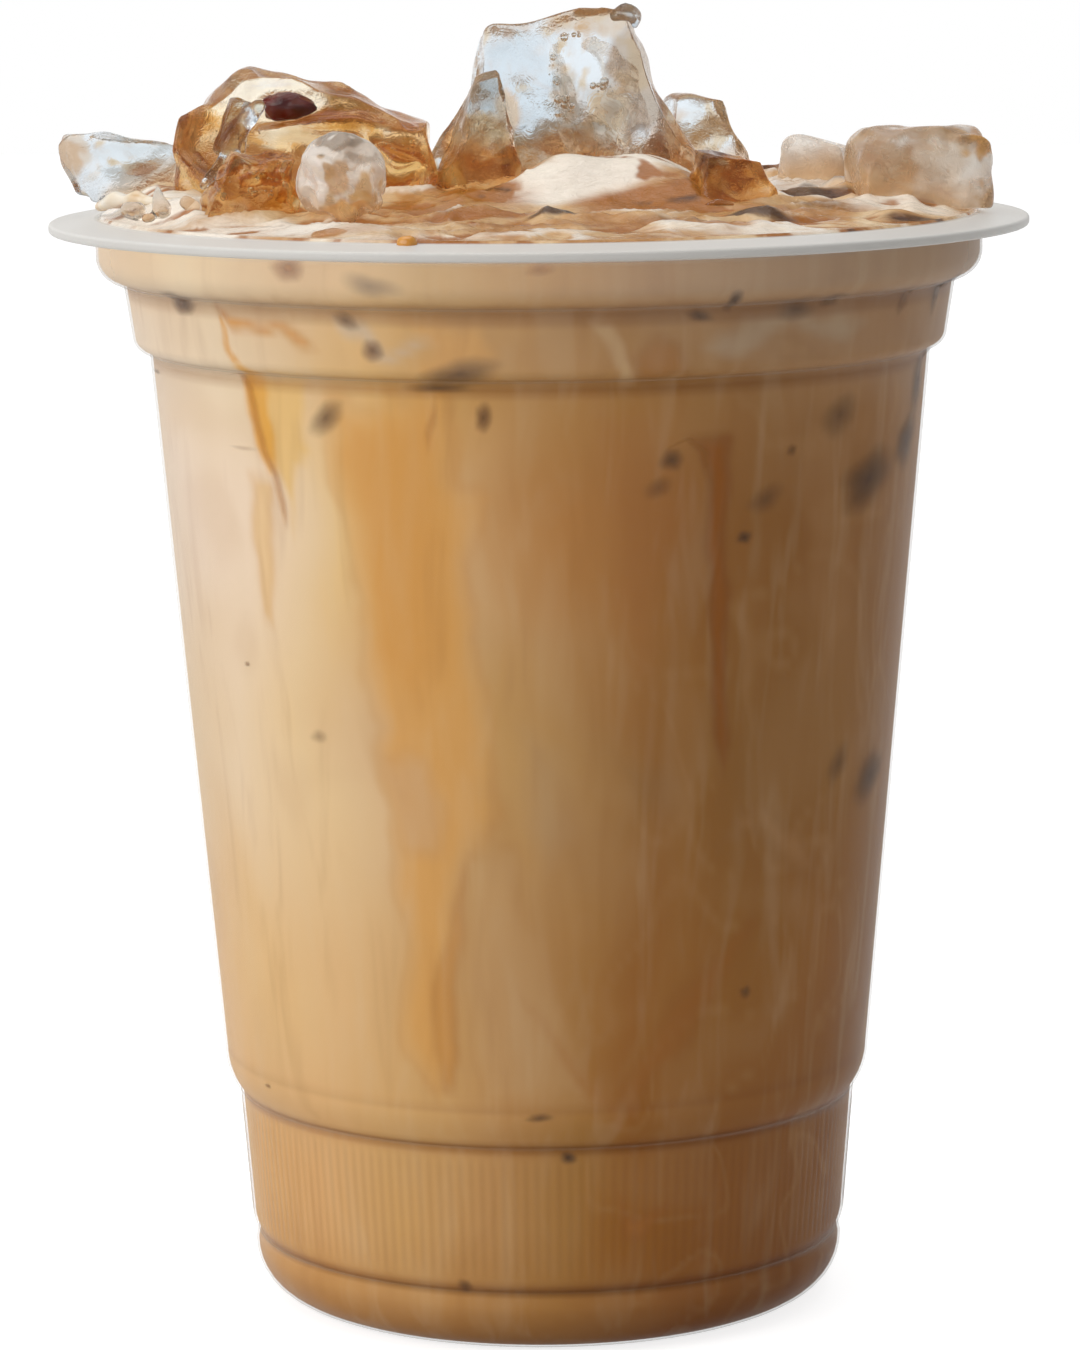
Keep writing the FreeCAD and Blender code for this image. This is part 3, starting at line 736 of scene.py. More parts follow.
surfaceForm = {
    "reach": 0.25,         # how deep inside the outer skin the drink's side lies, mm
    "mound": 0.9,          # rise of the middle over the brim
    "calm": (6.5, -11.0, 11.0, 6.0, 6, 0.85),   # the cream wave stays smooth
    "shelf": 6.0,          # how far in from the wall the folds die away
    "slow": 1.1, "folds": 1.3, "fineFolds": 0.35,   # heights of the ripples, mm
    "edgeRise": 0.25, "edgeReach": 0.8,   # the meniscus at the cup
    "iceRise": 0.9, "iceReach": 1.7,      # the meniscus against ice, and how far out it reaches
    "sideFrom": 0.6,       # the side starts this far under the brim
    "step": 1.02,          # mm between the side's rows
    "rings": 74,           # rows of the surface, set closer near the wall
    "crowding": 0.82,
    "front": 280, "back": 104,   # columns before and behind
}
surfaceSwells = (
    # east, north, half width, half depth, turn, rise: millimetres and degrees
    (2.4, -9.4, 4.8, 4.6, 6, 3.9),       # the cream wave against the tall block
    (10.6, -9.0, 5.2, 4.4, 0, 4.1),
    (14.0, -14.4, 6.0, 3.0, 12, 0.9),
    (-5.5, -13.0, 5.0, 4.2, 0, 1.3),
    (-13.5, -13.0, 5.0, 3.6, 0, 0.7),
    (-38.0, -3.0, 8.0, 11.0, 0, 2.1),
    (-36.5, -14.0, 5.5, 5.0, 0, 1.3),
    (-26.0, -16.0, 7.0, 4.0, 0, 0.6),
    (38.0, -2.0, 7.0, 8.0, 0, 1.7),
    (27.0, 5.0, 9.0, 9.0, 0, 0.8),
    (-2.0, 2.0, 20.0, 11.0, 0, 1.2),
    (0.0, 23.0, 28.0, 9.0, 0, 1.6),
    (-24.0, -30.0, 9.0, 2.2, -8, 0.5),
    (-6.0, -23.0, 6.0, 1.6, 12, 1.1),
    (1.2, -24.4, 2.6, 1.2, 8, 0.9),
    (9.0, -27.0, 8.0, 1.4, -4, 0.8),
    (20.0, -21.6, 3.0, 1.2, -12, 0.8),
    (23.6, -20.8, 2.4, 1.2, 14, 0.5),
    (35.4, -19.0, 3.6, 1.2, 10, 1.5),
    (26.0, -5.0, 4.0, 1.5, 0, 1.2),
    (27.0, -13.0, 5.0, 1.6, 8, 0.7),
    (-30.0, 20.0, 9.0, 3.0, 30, 0.8),
    (14.0, 33.0, 9.0, 2.4, -20, 0.7),
    (-12.0, 34.0, 8.0, 2.2, 16, 0.7),
    (36.0, 12.0, 3.0, 8.0, 10, 0.7),
)


def turned(x, y, east, north, turn):
    # a place seen from a point, along axes turned by some degrees
    c, s = math.cos(math.radians(turn)), math.sin(math.radians(turn))
    return (x - east) * c + (y - north) * s, (y - north) * c - (x - east) * s


def swellAt(x, y, swell):
    east, north, wide, deep, turn, rise = swell
    u, v = turned(x, y, east, north, turn)
    return rise * math.exp(-((u / wide) ** 2) - (v / deep) ** 2)


iceNodes = [name for name in cadNodes if name.startswith("ice")]


def makeIceTree():
    # all the ice at once, to find how near it is
    verts, faces = [], []
    for name in iceNodes:
        mesh = cadNodes[name].data
        start = len(verts)
        verts.extend(vertex.co.copy() for vertex in mesh.vertices)
        faces.extend([start + i for i in polygon.vertices] for polygon in mesh.polygons)
    return BVHTree.FromPolygons(verts, faces)


iceTree = makeIceTree()


def rippleAt(x, y):
    # long folds with finer ones across them
    form = surfaceForm
    spot = Vector((x * 0.10, y * 0.17, 0.0))
    rise = form["slow"] * noise.noise(spot + Vector((0.5 * noise.noise(spot * 2.1), 0.0, 2.0)))
    spot = Vector((x * 0.17, y * 0.30, 4.0))
    fold = noise.noise(spot + Vector((noise.noise(spot * 0.8) * 0.9, 0.0, 0.0)))
    rise += form["folds"] * (0.3 - abs(fold))
    fold = noise.noise(spot * 2.3 + Vector((noise.noise(spot * 1.7) * 1.2, 3.0, 0.0)))
    return rise + form["fineFolds"] * (0.3 - abs(fold))


def surfaceHeight(x, y):
    form = surfaceForm
    inner = cupForm["mouth"] - cupForm["wall"]
    reach = math.hypot(x, y)
    if reach > inner:
        return cupForm["height"] + form["edgeRise"] - (reach - inner) * 1.6
    ball = (inner**2 + form["mound"] ** 2) / (2 * form["mound"])
    rise = math.sqrt(ball**2 - reach**2) - (ball - form["mound"])
    rim = min(1.0, (inner - reach) / form["shelf"])
    shelf = rim * rim * (3 - 2 * rim)
    calm = 1 - swellAt(x, y, form["calm"])
    rise += shelf * (sum(swellAt(x, y, swell) for swell in surfaceSwells) + rippleAt(x, y) * calm)
    away = iceTree.find_nearest(Vector((x, y, cupForm["height"] + rise)) * mm)[3] / mm
    rise += shelf * form["iceRise"] * math.exp(-away / form["iceReach"])
    rise += form["edgeRise"] * math.exp(-(inner - reach) / form["edgeReach"])
    return cupForm["height"] + rise


def evenly(points, step):
    # more points along the straight runs of a path
    path = [points[0]]
    for (r0, z0), (r1, z1) in zip(points, points[1:]):
        parts = max(1, math.ceil(math.hypot(r1 - r0, z1 - z0) / step))
        path.extend((r0 + (r1 - r0) * k / parts, z0 + (z1 - z0) * k / parts) for k in range(1, parts + 1))
    return path


def makeDrink():
    form = surfaceForm
    front = np.linspace(-math.pi / 2, math.pi / 2, form["front"], endpoint=False)
    back = np.linspace(math.pi / 2, math.pi * 1.5, form["back"], endpoint=False)
    angles = np.concatenate([front, back])
    outer = cupForm["mouth"] - form["reach"]
    rings = [[(0.0, 0.0, surfaceHeight(0.0, 0.0))]]
    for ring in range(1, form["rings"] + 1):
        radius = outer * (ring / form["rings"]) ** form["crowding"]
        spots = [(radius * math.sin(angle), -radius * math.cos(angle)) for angle in angles]
        rings.append([(x, y, surfaceHeight(x, y)) for x, y in spots])
    for radius, height in evenly(tracePath(wallCorners(form["reach"])), form["step"]):
        if height < cupForm["height"] - form["sideFrom"]:
            rings.append(ringAt(radius, height, angles))
    mesh = ringMesh("latteBody", rings)
    piece = newPiece("latteBody", mesh, "drinkSide", "drinkTop")
    topFaces = form["rings"] * len(angles)
    mesh.polygons.foreach_set("material_index", [int(k < topFaces) for k in range(len(mesh.polygons))])
    paintSide(mesh)
    tintSurface(mesh)
    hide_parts("latte")


surfaceTints = {
    # east, north, half width, half depth, turn, strength
    "cream": (
        (3.6, -11.6, 8.4, 3.8, 20, 1.0), (12.0, -8.6, 4.0, 2.0, 10, 0.8),
        (-24.0, -28.5, 11.0, 5.5, -8, 0.95), (-4.6, -21.6, 5.0, 1.0, 12, 0.8),
        (-36.0, -16.0, 8.0, 8.0, 0, 0.8), (-40.0, -4.0, 4.0, 9.0, 0, 0.9), (26.0, 6.0, 9.0, 7.0, 0, 0.6),
        (36.0, -12.0, 9.0, 3.6, -8, 0.7), (24.0, -34.0, 16.0, 2.6, 0, 0.6),
        (-14.0, -38.0, 12.0, 3.0, 0, 0.5), (-20.0, 30.0, 12.0, 4.0, 20, 0.6),
        (10.0, 36.0, 10.0, 3.0, -10, 0.5),
    ),
    "amber": (
        (12.0, -15.6, 9.0, 3.2, 14, 1.0), (-5.6, -15.0, 6.0, 3.2, 0, 0.55),
        (-12.0, -17.6, 4.0, 3.0, 0, 0.6), (8.0, -29.5, 13.0, 2.0, -2, 0.55),
        (22.0, -17.0, 6.0, 1.6, 6, 0.5), (-5.0, -24.4, 6.0, 1.4, 12, 0.8), (26.0, 24.0, 8.0, 4.0, 0, 0.5),
        (-26.0, 14.0, 8.0, 4.0, 0, 0.5), (-17.0, -34.4, 4.0, 1.4, 6, 0.5),
    ),
    # dark: brown coffee leaves, most set just in front of a swell as painted shade beneath its fold
    "dark": (
        (1.3, -25.3, 2.4, 0.8, 8, 1.0), (20.6, -22.4, 3.4, 0.9, -8, 0.8), (35.4, -20.2, 3.4, 1.0, 10, 0.85),
        (26.0, -6.2, 3.6, 1.1, 0, 0.8), (13.6, -15.8, 1.8, 0.8, 0, 0.6), (14.0, -28.4, 6.0, 0.7, -4, 0.4),
        (23.0, -2.0, 4.0, 1.6, 0, 0.7), (27.0, -6.0, 4.0, 1.4, 6, 0.6), (26.0, -14.4, 3.0, 0.9, 8, 0.5),
        (-8.0, -31.8, 5.0, 0.7, 8, 0.3), (28.0, 2.0, 3.0, 1.4, 0, 0.6), (-14.0, 33.0, 6.0, 1.0, 12, 0.6),
        (24.0, 30.0, 5.0, 1.0, -20, 0.6),
    ),
}
foldTints = {
    # fold height where the tint starts and where it is full, mm, then its strength
    "cream": (0.40, 0.80, 0.6),
    "amber": (0.12, -0.22, 0.85),
    "dark": (-0.28, -0.60, 0.6),
}


def tintSurface(mesh):
    spots = spotsOf(mesh)
    x, y = spots[:, 0], spots[:, 1]
    top = spots[:, 2] > cupForm["height"] - 1.0
    folds = np.zeros(len(spots))
    folds[top] = [rippleAt(east, north) for east, north in zip(x[top], y[top])]
    for name, patches in surfaceTints.items():
        low, high, most = foldTints[name]
        value = most * softStep(folds, low, high)
        for east, north, wide, deep, turn, strength in patches:
            u, v = turned(x, y, east, north, turn)
            value = np.maximum(value, strength * np.exp(-((u / wide) ** 4) - np.abs(v / deep) ** 3))
        keepValues(mesh, name, value)


makeDrink()
print("drink poured")


# flecks and fine runs that touch the wall, each a thin soft-edged patch between drink and plastic

fleckForm = {
    "around": 18, "rings": 5, "spread": 1.6, "rough": 0.28,
    "inset": 0.12, "runInset": 0.10,   # mm inside the wall's outer skin
    # columns across a run, in half widths, and how strong each is
    "runColumns": {-2.2: 0.0, -0.8: 0.6, 0.0: 0.8, 0.8: 0.6, 2.2: 0.0},
    "runSteps": 6, "runEnds": 4,
}
fleckSpots = (
    # centre, level, wide, tall, tilt, strength, tone: degrees and millimetres; tone 0 dark, 1 orange
    (-32.0, 104.4, 1.4, 0.9, 0.0, 0.8, 0.7), (-56.0, 100.1, 1.5, 0.9, 0.3, 0.9, 0.1),
    (-21.0, 103.0, 1.9, 0.8, -0.9, 0.4, 0.0), (-26.0, 99.6, 0.9, 0.7, -0.6, 0.55, 0.1),
    (-22.5, 96.9, 0.8, 0.8, 0.0, 0.75, 0.3), (-31.7, 90.3, 1.3, 1.2, 0.6, 0.55, 0.0),
    (-10.8, 94.8, 2.4, 1.1, 1.2, 0.6, 0.0), (-8.0, 90.7, 0.6, 1.0, 0.0, 0.75, 0.2),
    (-14.4, 93.4, 2.4, 0.3, 0.0, 0.5, 0.0), (0.0, 104.6, 0.9, 0.5, 0.3, 0.5, 0.9),
    (24.8, 101.2, 0.5, 0.8, 0.0, 0.8, 0.0), (21.0, 99.8, 0.9, 0.5, -0.8, 0.6, 0.0),
    (35.6, 99.9, 1.6, 0.8, 0.0, 0.4, 0.0), (41.0, 100.6, 1.0, 0.5, 0.0, 0.6, 0.4),
    (58.0, 99.7, 0.8, 1.0, 0.5, 0.6, 0.5), (69.5, 100.0, 0.9, 1.6, 0.2, 0.7, 0.1),
    (18.6, 86.5, 0.9, 0.8, 0.0, 0.6, 0.0), (16.8, 84.0, 0.9, 0.8, 0.4, 0.35, 0.1),
    (30.7, 78.8, 0.6, 0.5, 0.0, 0.7, 0.0), (38.5, 86.6, 0.5, 0.4, 0.0, 0.6, 0.3),
    (34.0, 82.2, 1.4, 1.0, 0.5, 0.35, 0.0), (48.0, 89.4, 1.8, 1.4, 0.4, 0.4, 0.0),
    (56.6, 82.8, 3.2, 2.2, 0.5, 0.7, 0.0), (70.0, 85.6, 2.4, 1.8, 0.2, 0.75, 0.0),
    (73.6, 91.0, 1.6, 2.2, 0.1, 0.6, 0.0), (66.0, 53.4, 2.6, 1.9, 0.4, 0.65, 0.0),
    (54.0, 55.6, 1.2, 1.4, 0.3, 0.35, 0.0), (35.0, 35.0, 0.5, 0.5, 0.0, 0.6, 0.2),
    (3.6, 20.0, 0.6, 0.5, 0.0, 0.8, 0.0), (-16.0, 7.0, 0.6, 0.5, 0.0, 0.6, 0.1),
    (-1.3, 24.2, 0.9, 0.35, 0.6, 0.6, 0.1), (-48.2, 86.8, 1.4, 0.16, 0.0, 0.22, 0.4),
    (-78.0, 92.4, 1.6, 0.2, 0.5, 0.6, 0.1), (-37.0, 60.0, 0.7, 0.5, 0.2, 0.3, 0.1),
    (-52.0, 66.0, 0.3, 0.2, 0.0, 0.6, 0.2), (-58.0, 24.0, 0.4, 0.2, 0.3, 0.6, 0.2),
    (112.0, 98.6, 1.6, 1.0, 0.4, 0.7, 0.0), (128.0, 76.0, 1.2, 2.2, 0.3, 0.7, 0.0),
    (160.0, 90.0, 1.4, 1.0, 0.0, 0.6, 0.3), (-165.0, 84.0, 1.2, 1.0, 0.3, 0.6, 0.0),
    (-136.0, 96.0, 1.6, 0.9, -0.3, 0.7, 0.1), (-104.0, 88.0, 0.8, 0.7, 0.0, 0.6, 0.2),
    (98.0, 58.0, 1.0, 1.8, 0.3, 0.6, 0.0), (-128.0, 48.0, 0.6, 0.6, 0.0, 0.5, 0.0),
    (168.0, 40.0, 0.8, 0.7, 0.0, 0.5, 0.1), (144.0, 101.0, 1.0, 0.6, 0.2, 0.6, 0.5),
    (-92.0, 74.0, 0.5, 0.5, 0.0, 0.5, 0.1), (86.0, 30.0, 0.6, 0.5, 0.0, 0.5, 0.0),
)
fineRuns = (
    # (azimuth, height, half width) down each run, then its tone and strength
    (((-50.0, 93.6, 0.1), (-47.4, 93.9, 0.3), (-45.6, 92.6, 0.35), (-45.0, 90.0, 0.4), (-43.8, 87.0, 0.35),
      (-41.8, 84.6, 0.3), (-40.9, 82.0, 0.3), (-40.4, 79.4, 0.15)), 1.0, 0.4),
    (((-14.6, 93.0, 0.1), (-15.4, 90.0, 0.3), (-16.6, 87.0, 0.1)), 1.0, 0.25),
    (((17.6, 87.4, 0.1), (21.0, 88.4, 0.25), (23.6, 87.0, 0.3), (25.0, 83.0, 0.2)), 1.0, 0.3),
)


wallPath = sorted((z, r) for r, z in tracePath(wallCorners(0.0)) if r > 20)
wallHeights, wallRadii = zip(*wallPath)


def onWall(azimuth, height, inset):
    radius, angle = np.interp(height, wallHeights, wallRadii) - inset, math.radians(azimuth)
    return (radius * math.sin(angle) * mm, -radius * math.cos(angle) * mm, height * mm)


def layFleck(centre, level, wide, tall, tilt, strength, seed, verts, faces, cover):
    form = fleckForm
    around, rings = form["around"], form["rings"]
    radius = np.interp(level, wallHeights, wallRadii) - form["inset"]
    first = len(verts)
    verts.append(onWall(centre, level, form["inset"]))
    cover.append(strength)
    for ring in range(1, rings + 1):
        share = ring / rings
        for k in range(around):
            angle = k * 2 * math.pi / around
            spot = Vector((math.cos(angle), math.sin(angle), seed * 3.1)) * 1.4
            reach = form["spread"] * share * (1 + form["rough"] * noise.noise(spot))
            up = math.sin(angle) * tall * reach
            out = math.cos(angle) * wide * reach + up * tilt
            verts.append(onWall(centre + math.degrees(out / radius), level + up, form["inset"]))
            cover.append(strength * 0.9 * (1 - share) ** 1.4 * (1.0 + share))
    for k in range(around):
        after = (k + 1) % around
        faces.append((first, first + 1 + k, first + 1 + after))
        for ring in range(1, rings):
            inner, outer = first + 1 + (ring - 1) * around, first + 1 + ring * around
            faces.append((inner + k, outer + k, outer + after, inner + after))


def layRun(points, strength, verts, faces, cover):
    form = fleckForm
    columns = form["runColumns"]
    path = []
    for a, b in zip(points, points[1:]):
        path.extend(np.array(a) + (np.array(b) - a) * k / form["runSteps"] for k in range(form["runSteps"]))
    path.append(points[-1])
    first = len(verts)
    for k, (azimuth, height, half) in enumerate(path):
        azimuth += noise.noise(Vector((azimuth, height, 0)) * 0.4) * 0.5
        ends = min(1.0, k / form["runEnds"], (len(path) - 1 - k) / form["runEnds"])
        radius = np.interp(height, wallHeights, wallRadii) - form["inset"]
        for side, share in columns.items():
            verts.append(onWall(azimuth + math.degrees(side * half / radius), height, form["runInset"]))
            cover.append(share * ends * strength)
    width = len(columns)
    for k in range(len(path) - 1):
        for a in range(first + k * width, first + k * width + width - 1):
            faces.append((a, a + width, a + width + 1, a + 1))


def makeFlecks():
    verts, faces, cover, tone = [], [], [], []
    for seed, (centre, level, wide, tall, tilt, strength, warmth) in enumerate(fleckSpots):
        layFleck(centre, level, wide, tall, tilt, strength, seed, verts, faces, cover)
        tone.extend([warmth] * (len(verts) - len(tone)))
    for points, warmth, strength in fineRuns:
        layRun(points, strength, verts, faces, cover)
        tone.extend([warmth] * (len(verts) - len(tone)))
    mesh = bpy.data.meshes.new("coffeeFlecks")
    mesh.from_pydata(verts, [], faces)
    mesh.shade_smooth()
    keepValues(mesh, "cover", cover)
    keepValues(mesh, "tone", tone)
    newPiece("coffeeFlecks", mesh, "fleck")


makeFlecks()
print("flecks laid")


# ice: each block is remeshed fine with the ridges that ran down it, then worn smooth by melting

iceForms = {
    # voxel in mm, rounds of smoothing, facet depth and size, ripple depth and size in mm, material
    "ice_tall": (0.36, 8, 0.8, 7.5, 0.5, 4.5, "clear"),
    "ice_dome": (0.34, 7, 0.6, 6.0, 0.5, 4.0, "stained"),
    "ice_gold": (0.24, 6, 0.45, 3.4, 0.25, 2.4, "stained"),
    "ice_amber": (0.24, 5, 0.5, 3.0, 0.6, 1.7, "stained"),
    "ice_shard": (0.16, 5, 0.15, 2.0, 0.12, 1.4, "clear"),
    "ice_slab": (0.26, 8, 0.40, 4.5, 0.3, 3.0, "clear"),
    "ice_rear": (0.30, 7, 0.50, 5.0, 0.25, 3.0, "clear"),
    "ice_facet": (0.24, 5, 0.45, 3.0, 0.2, 2.0, "stained"),
    "ice_cube": (0.26, 5, 0.35, 4.0, 0.2, 3.0, "frosted"),
    "ice_block": (0.30, 8, 0.50, 4.5, 0.3, 3.0, "frosted"),
    "ice_back_left": (0.32, 8, 0.5, 4.5, 0.3, 3.0, "clear"),
    "ice_back_mid": (0.32, 8, 0.5, 4.5, 0.3, 3.0, "clear"),
    "ice_back_right": (0.30, 7, 0.4, 4.0, 0.25, 3.0, "clear"),
    "ice_oval": (0.2, 8, 0.35, 3.2, 0.16, 1.5, "frosted"),
}
iceStrands = {
    # ridges and beads of melted ice on a block: (east, north, up, radius) along each, in mm
    "ice_oval": (
        ((-21.2, -22.0, 113.4, 1.0), (-19.4, -23.8, 112.6, 1.4), (-17.0, -24.0, 110.8, 1.4),
            (-15.4, -22.4, 109.4, 1.1)),
        ((-20.0, -21.6, 114.6, 1.0), (-17.6, -22.6, 113.8, 1.2), (-15.6, -22.0, 112.0, 1.2),
            (-14.8, -20.6, 110.4, 1.0)),
        ((-21.8, -21.8, 111.0, 1.0), (-20.0, -23.8, 109.8, 1.4), (-17.6, -24.0, 108.2, 1.2)),
    ),
    "ice_dome": (
        ((-26.6, -7.0, 115.2, 1.1), (-22.6, -8.6, 115.6, 1.3), (-19.0, -9.0, 116.0, 1.2),
            (-15.6, -8.6, 115.8, 1.2), (-12.6, -8.0, 115.0, 1.1), (-10.8, -7.4, 114.8, 0.9)),
        ((-11.0, -7.2, 115.2, 0.8), (-10.2, -7.6, 112.6, 1.1), (-9.9, -8.2, 110.4, 1.2),
            (-9.2, -8.8, 108.2, 1.4)),
        ((-16.6, -8.4, 115.0, 0.8), (-15.2, -9.2, 113.4, 1.0), (-13.2, -9.6, 112.4, 1.1),
            (-11.6, -9.2, 112.4, 0.9)),
        ((-32.2, -5.0, 117.6, 0.9), (-34.2, -6.0, 115.6, 1.1), (-34.6, -7.0, 113.4, 1.2),
            (-33.0, -8.2, 111.4, 1.2), (-31.0, -9.0, 109.6, 1.2)),
        ((-31.0, -2.0, 118.6, 0.9), (-28.0, -1.0, 119.8, 1.0), (-24.0, -0.6, 119.8, 1.0),
            (-20.0, -1.6, 119.2, 1.0), (-16.8, -3.6, 117.6, 1.0), (-13.4, -5.6, 115.8, 0.9)),
        ((-10.6, -7.2, 115.9, 0.75), (-10.5, -7.2, 116.1, 0.6)),
    ),
    "ice_shard": (
        ((-26.6, -9.4, 117.6, 0.9), (-28.0, -9.8, 116.0, 1.1), (-29.2, -10.2, 114.2, 1.2),
            (-29.0, -10.6, 113.0, 0.9)),
        ((-29.4, -10.4, 113.4, 0.7), (-30.6, -11.0, 111.8, 0.7), (-31.8, -11.4, 110.4, 0.6)),
    ),
    "ice_tall": (
        ((6.6, -2.0, 125.2, 1.0), (8.2, -3.0, 125.8, 1.45), (8.9, -3.2, 125.6, 1.3)),
        ((-9.6, -5.0, 112.4, 1.6), (-7.4, -4.6, 116.2, 1.2), (-5.8, -3.4, 120.0, 1.0),
            (-5.0, -1.6, 123.6, 0.9)),
        ((11.2, -2.4, 119.0, 1.0), (12.6, -3.8, 115.4, 1.4), (14.0, -5.0, 111.6, 2.0)),
    ),
    "ice_amber": (
        ((-30.6, -19.6, 111.6, 0.6), (-30.2, -19.8, 111.4, 0.7)),
        ((-27.0, -20.6, 112.4, 0.7), (-26.0, -20.8, 112.0, 0.8)),
        ((-23.8, -20.2, 112.2, 0.7), (-22.8, -19.8, 113.0, 0.6)),
    ),
    "ice_block": (
        ((40.4, -8.4, 114.2, 0.9), (42.4, -7.0, 113.6, 1.1), (43.0, -6.2, 111.6, 1.0)),
    ),
    "ice_slab": (
        ((-45.8, 0.6, 113.4, 1.2), (-45.2, 0.4, 111.4, 1.2), (-44.2, -0.4, 109.4, 1.2)),
    ),
}
iceHollows = {
    # dents in a block: east, north and up of the middle, then half sizes
    "ice_dome": ((-23.8, -5.2, 117.6, 3.6, 3.2, 1.6), (-20.0, -9.6, 112.0, 5.0, 2.6, 2.6)),
    "ice_tall": ((-2.6, -9.4, 118.0, 4.0, 2.2, 6.0),),
    "ice_slab": ((-39.6, -1.0, 113.4, 5.0, 2.0, 2.6),),
    "ice_oval": ((-16.2, -24.0, 114.4, 2.2, 1.8, 2.2), (-22.0, -24.0, 109.6, 1.8, 1.6, 1.6)),
    "ice_facet": ((20.6, -16.8, 112.6, 2.6, 2.0, 1.8), (15.6, -17.6, 110.4, 1.6, 1.4, 2.0)),
    "ice_block": ((34.0, -10.6, 113.6, 3.4, 1.6, 1.6), (39.6, -10.8, 110.6, 2.6, 1.4, 2.4)),
}


def joined(name, meshes, voxel):
    # several closed meshes made into one fine skin
    whole = bmesh.new()
    for mesh in meshes:
        whole.from_mesh(mesh)
    bmesh.ops.remove_doubles(whole, verts=whole.verts, dist=0.001 * mm)
    rough = bpy.data.meshes.new(name)
    whole.to_mesh(rough)
    whole.free()
    source = bpy.data.objects.new(name, rough)
    bpy.context.scene.collection.objects.link(source)
    grid = source.modifiers.new("grid", "REMESH")
    grid.mode = "VOXEL"
    grid.voxel_size = voxel * mm
    view = bpy.context.evaluated_depsgraph_get()
    mesh = bpy.data.meshes.new_from_object(source.evaluated_get(view))
    bpy.data.objects.remove(source)
    return mesh


def strandMesh(points, spacing=0.45):
    # balls along a curve, ready to be joined
    spots = [Vector(point[:3]) for point in points]
    ends = [spots[0] * 2 - spots[1]] + spots + [spots[-1] * 2 - spots[-2]]
    lumps = bmesh.new()
    for k in range(len(spots) - 1):
        a, b, c, d = ends[k : k + 4]
        r0, r1 = points[k][3], points[k + 1][3]
        parts = max(2, math.ceil((c - b).length / (spacing * min(r0, r1))))
        for part in range(parts + 1):
            t = part / parts
            bend = (2 * a - 5 * b + 4 * c - d) * t**2 + (3 * b - a - 3 * c + d) * t**3
            place = Matrix.Translation((b + 0.5 * ((c - a) * t + bend)) * mm)
            radius = (r0 + (r1 - r0) * t) * mm
            bmesh.ops.create_icosphere(lumps, subdivisions=2, radius=radius, matrix=place)
    mesh = bpy.data.meshes.new("strand")
    lumps.to_mesh(mesh)
    lumps.free()
    return mesh


meltForm = {
    "facetReach": 0.62,    # how far a facet's dent reaches, in facet sizes
    "hollowReach": 1.25,   # the same for a hollow, in its half sizes
    "pressed": 0.85,       # how deep a hollow's middle is pushed in
    "after": 3,            # rounds of smoothing after the dents
}


def smoothed(shape, rounds):
    axes = {"use_axis_x": True, "use_axis_y": True, "use_axis_z": True}
    for _ in range(rounds):
        bmesh.ops.smooth_vert(shape, verts=shape.verts, factor=0.5, **axes)
    shape.normal_update()


def wearDown(mesh, smoothing, facet, facetSize, ripple, rippleSize, seed, hollows=()):
    # melts a mesh: smoothed, dented into facets, rippled and hollowed
    form = meltForm
    shape = bmesh.new()
    shape.from_mesh(mesh)
    smoothed(shape, smoothing)
    offset = Vector((seed * 3.7, seed * 1.9, seed * 5.3))
    moves = []
    for vertex in shape.verts:
        spot = vertex.co / mm
        near = noise.voronoi(spot / facetSize + offset)[0][0]
        dent = facet * max(0.0, 1 - (near / form["facetReach"]) ** 2)
        wave = ripple * (0.5 + noise.noise(spot / rippleSize + offset))
        moves.append(vertex.normal * (-(dent + wave) * mm))
    for vertex, move in zip(shape.verts, moves):
        vertex.co += move
    for east, north, up, wide, deep, tall in hollows:
        middle = Vector((east, north, up))
        for vertex in shape.verts:
            away = vertex.co / mm - middle
            reach = math.sqrt((away.x / wide) ** 2 + (away.y / deep) ** 2 + (away.z / tall) ** 2)
            if reach < form["hollowReach"]:
                pressed = form["pressed"] + 0.4 * (reach / form["hollowReach"]) ** 2
                vertex.co = (middle + away * (max(pressed, reach) / max(reach, 0.05))) * mm
    smoothed(shape, form["after"])
    shape.to_mesh(mesh)
    shape.free()
    mesh.shade_smooth()


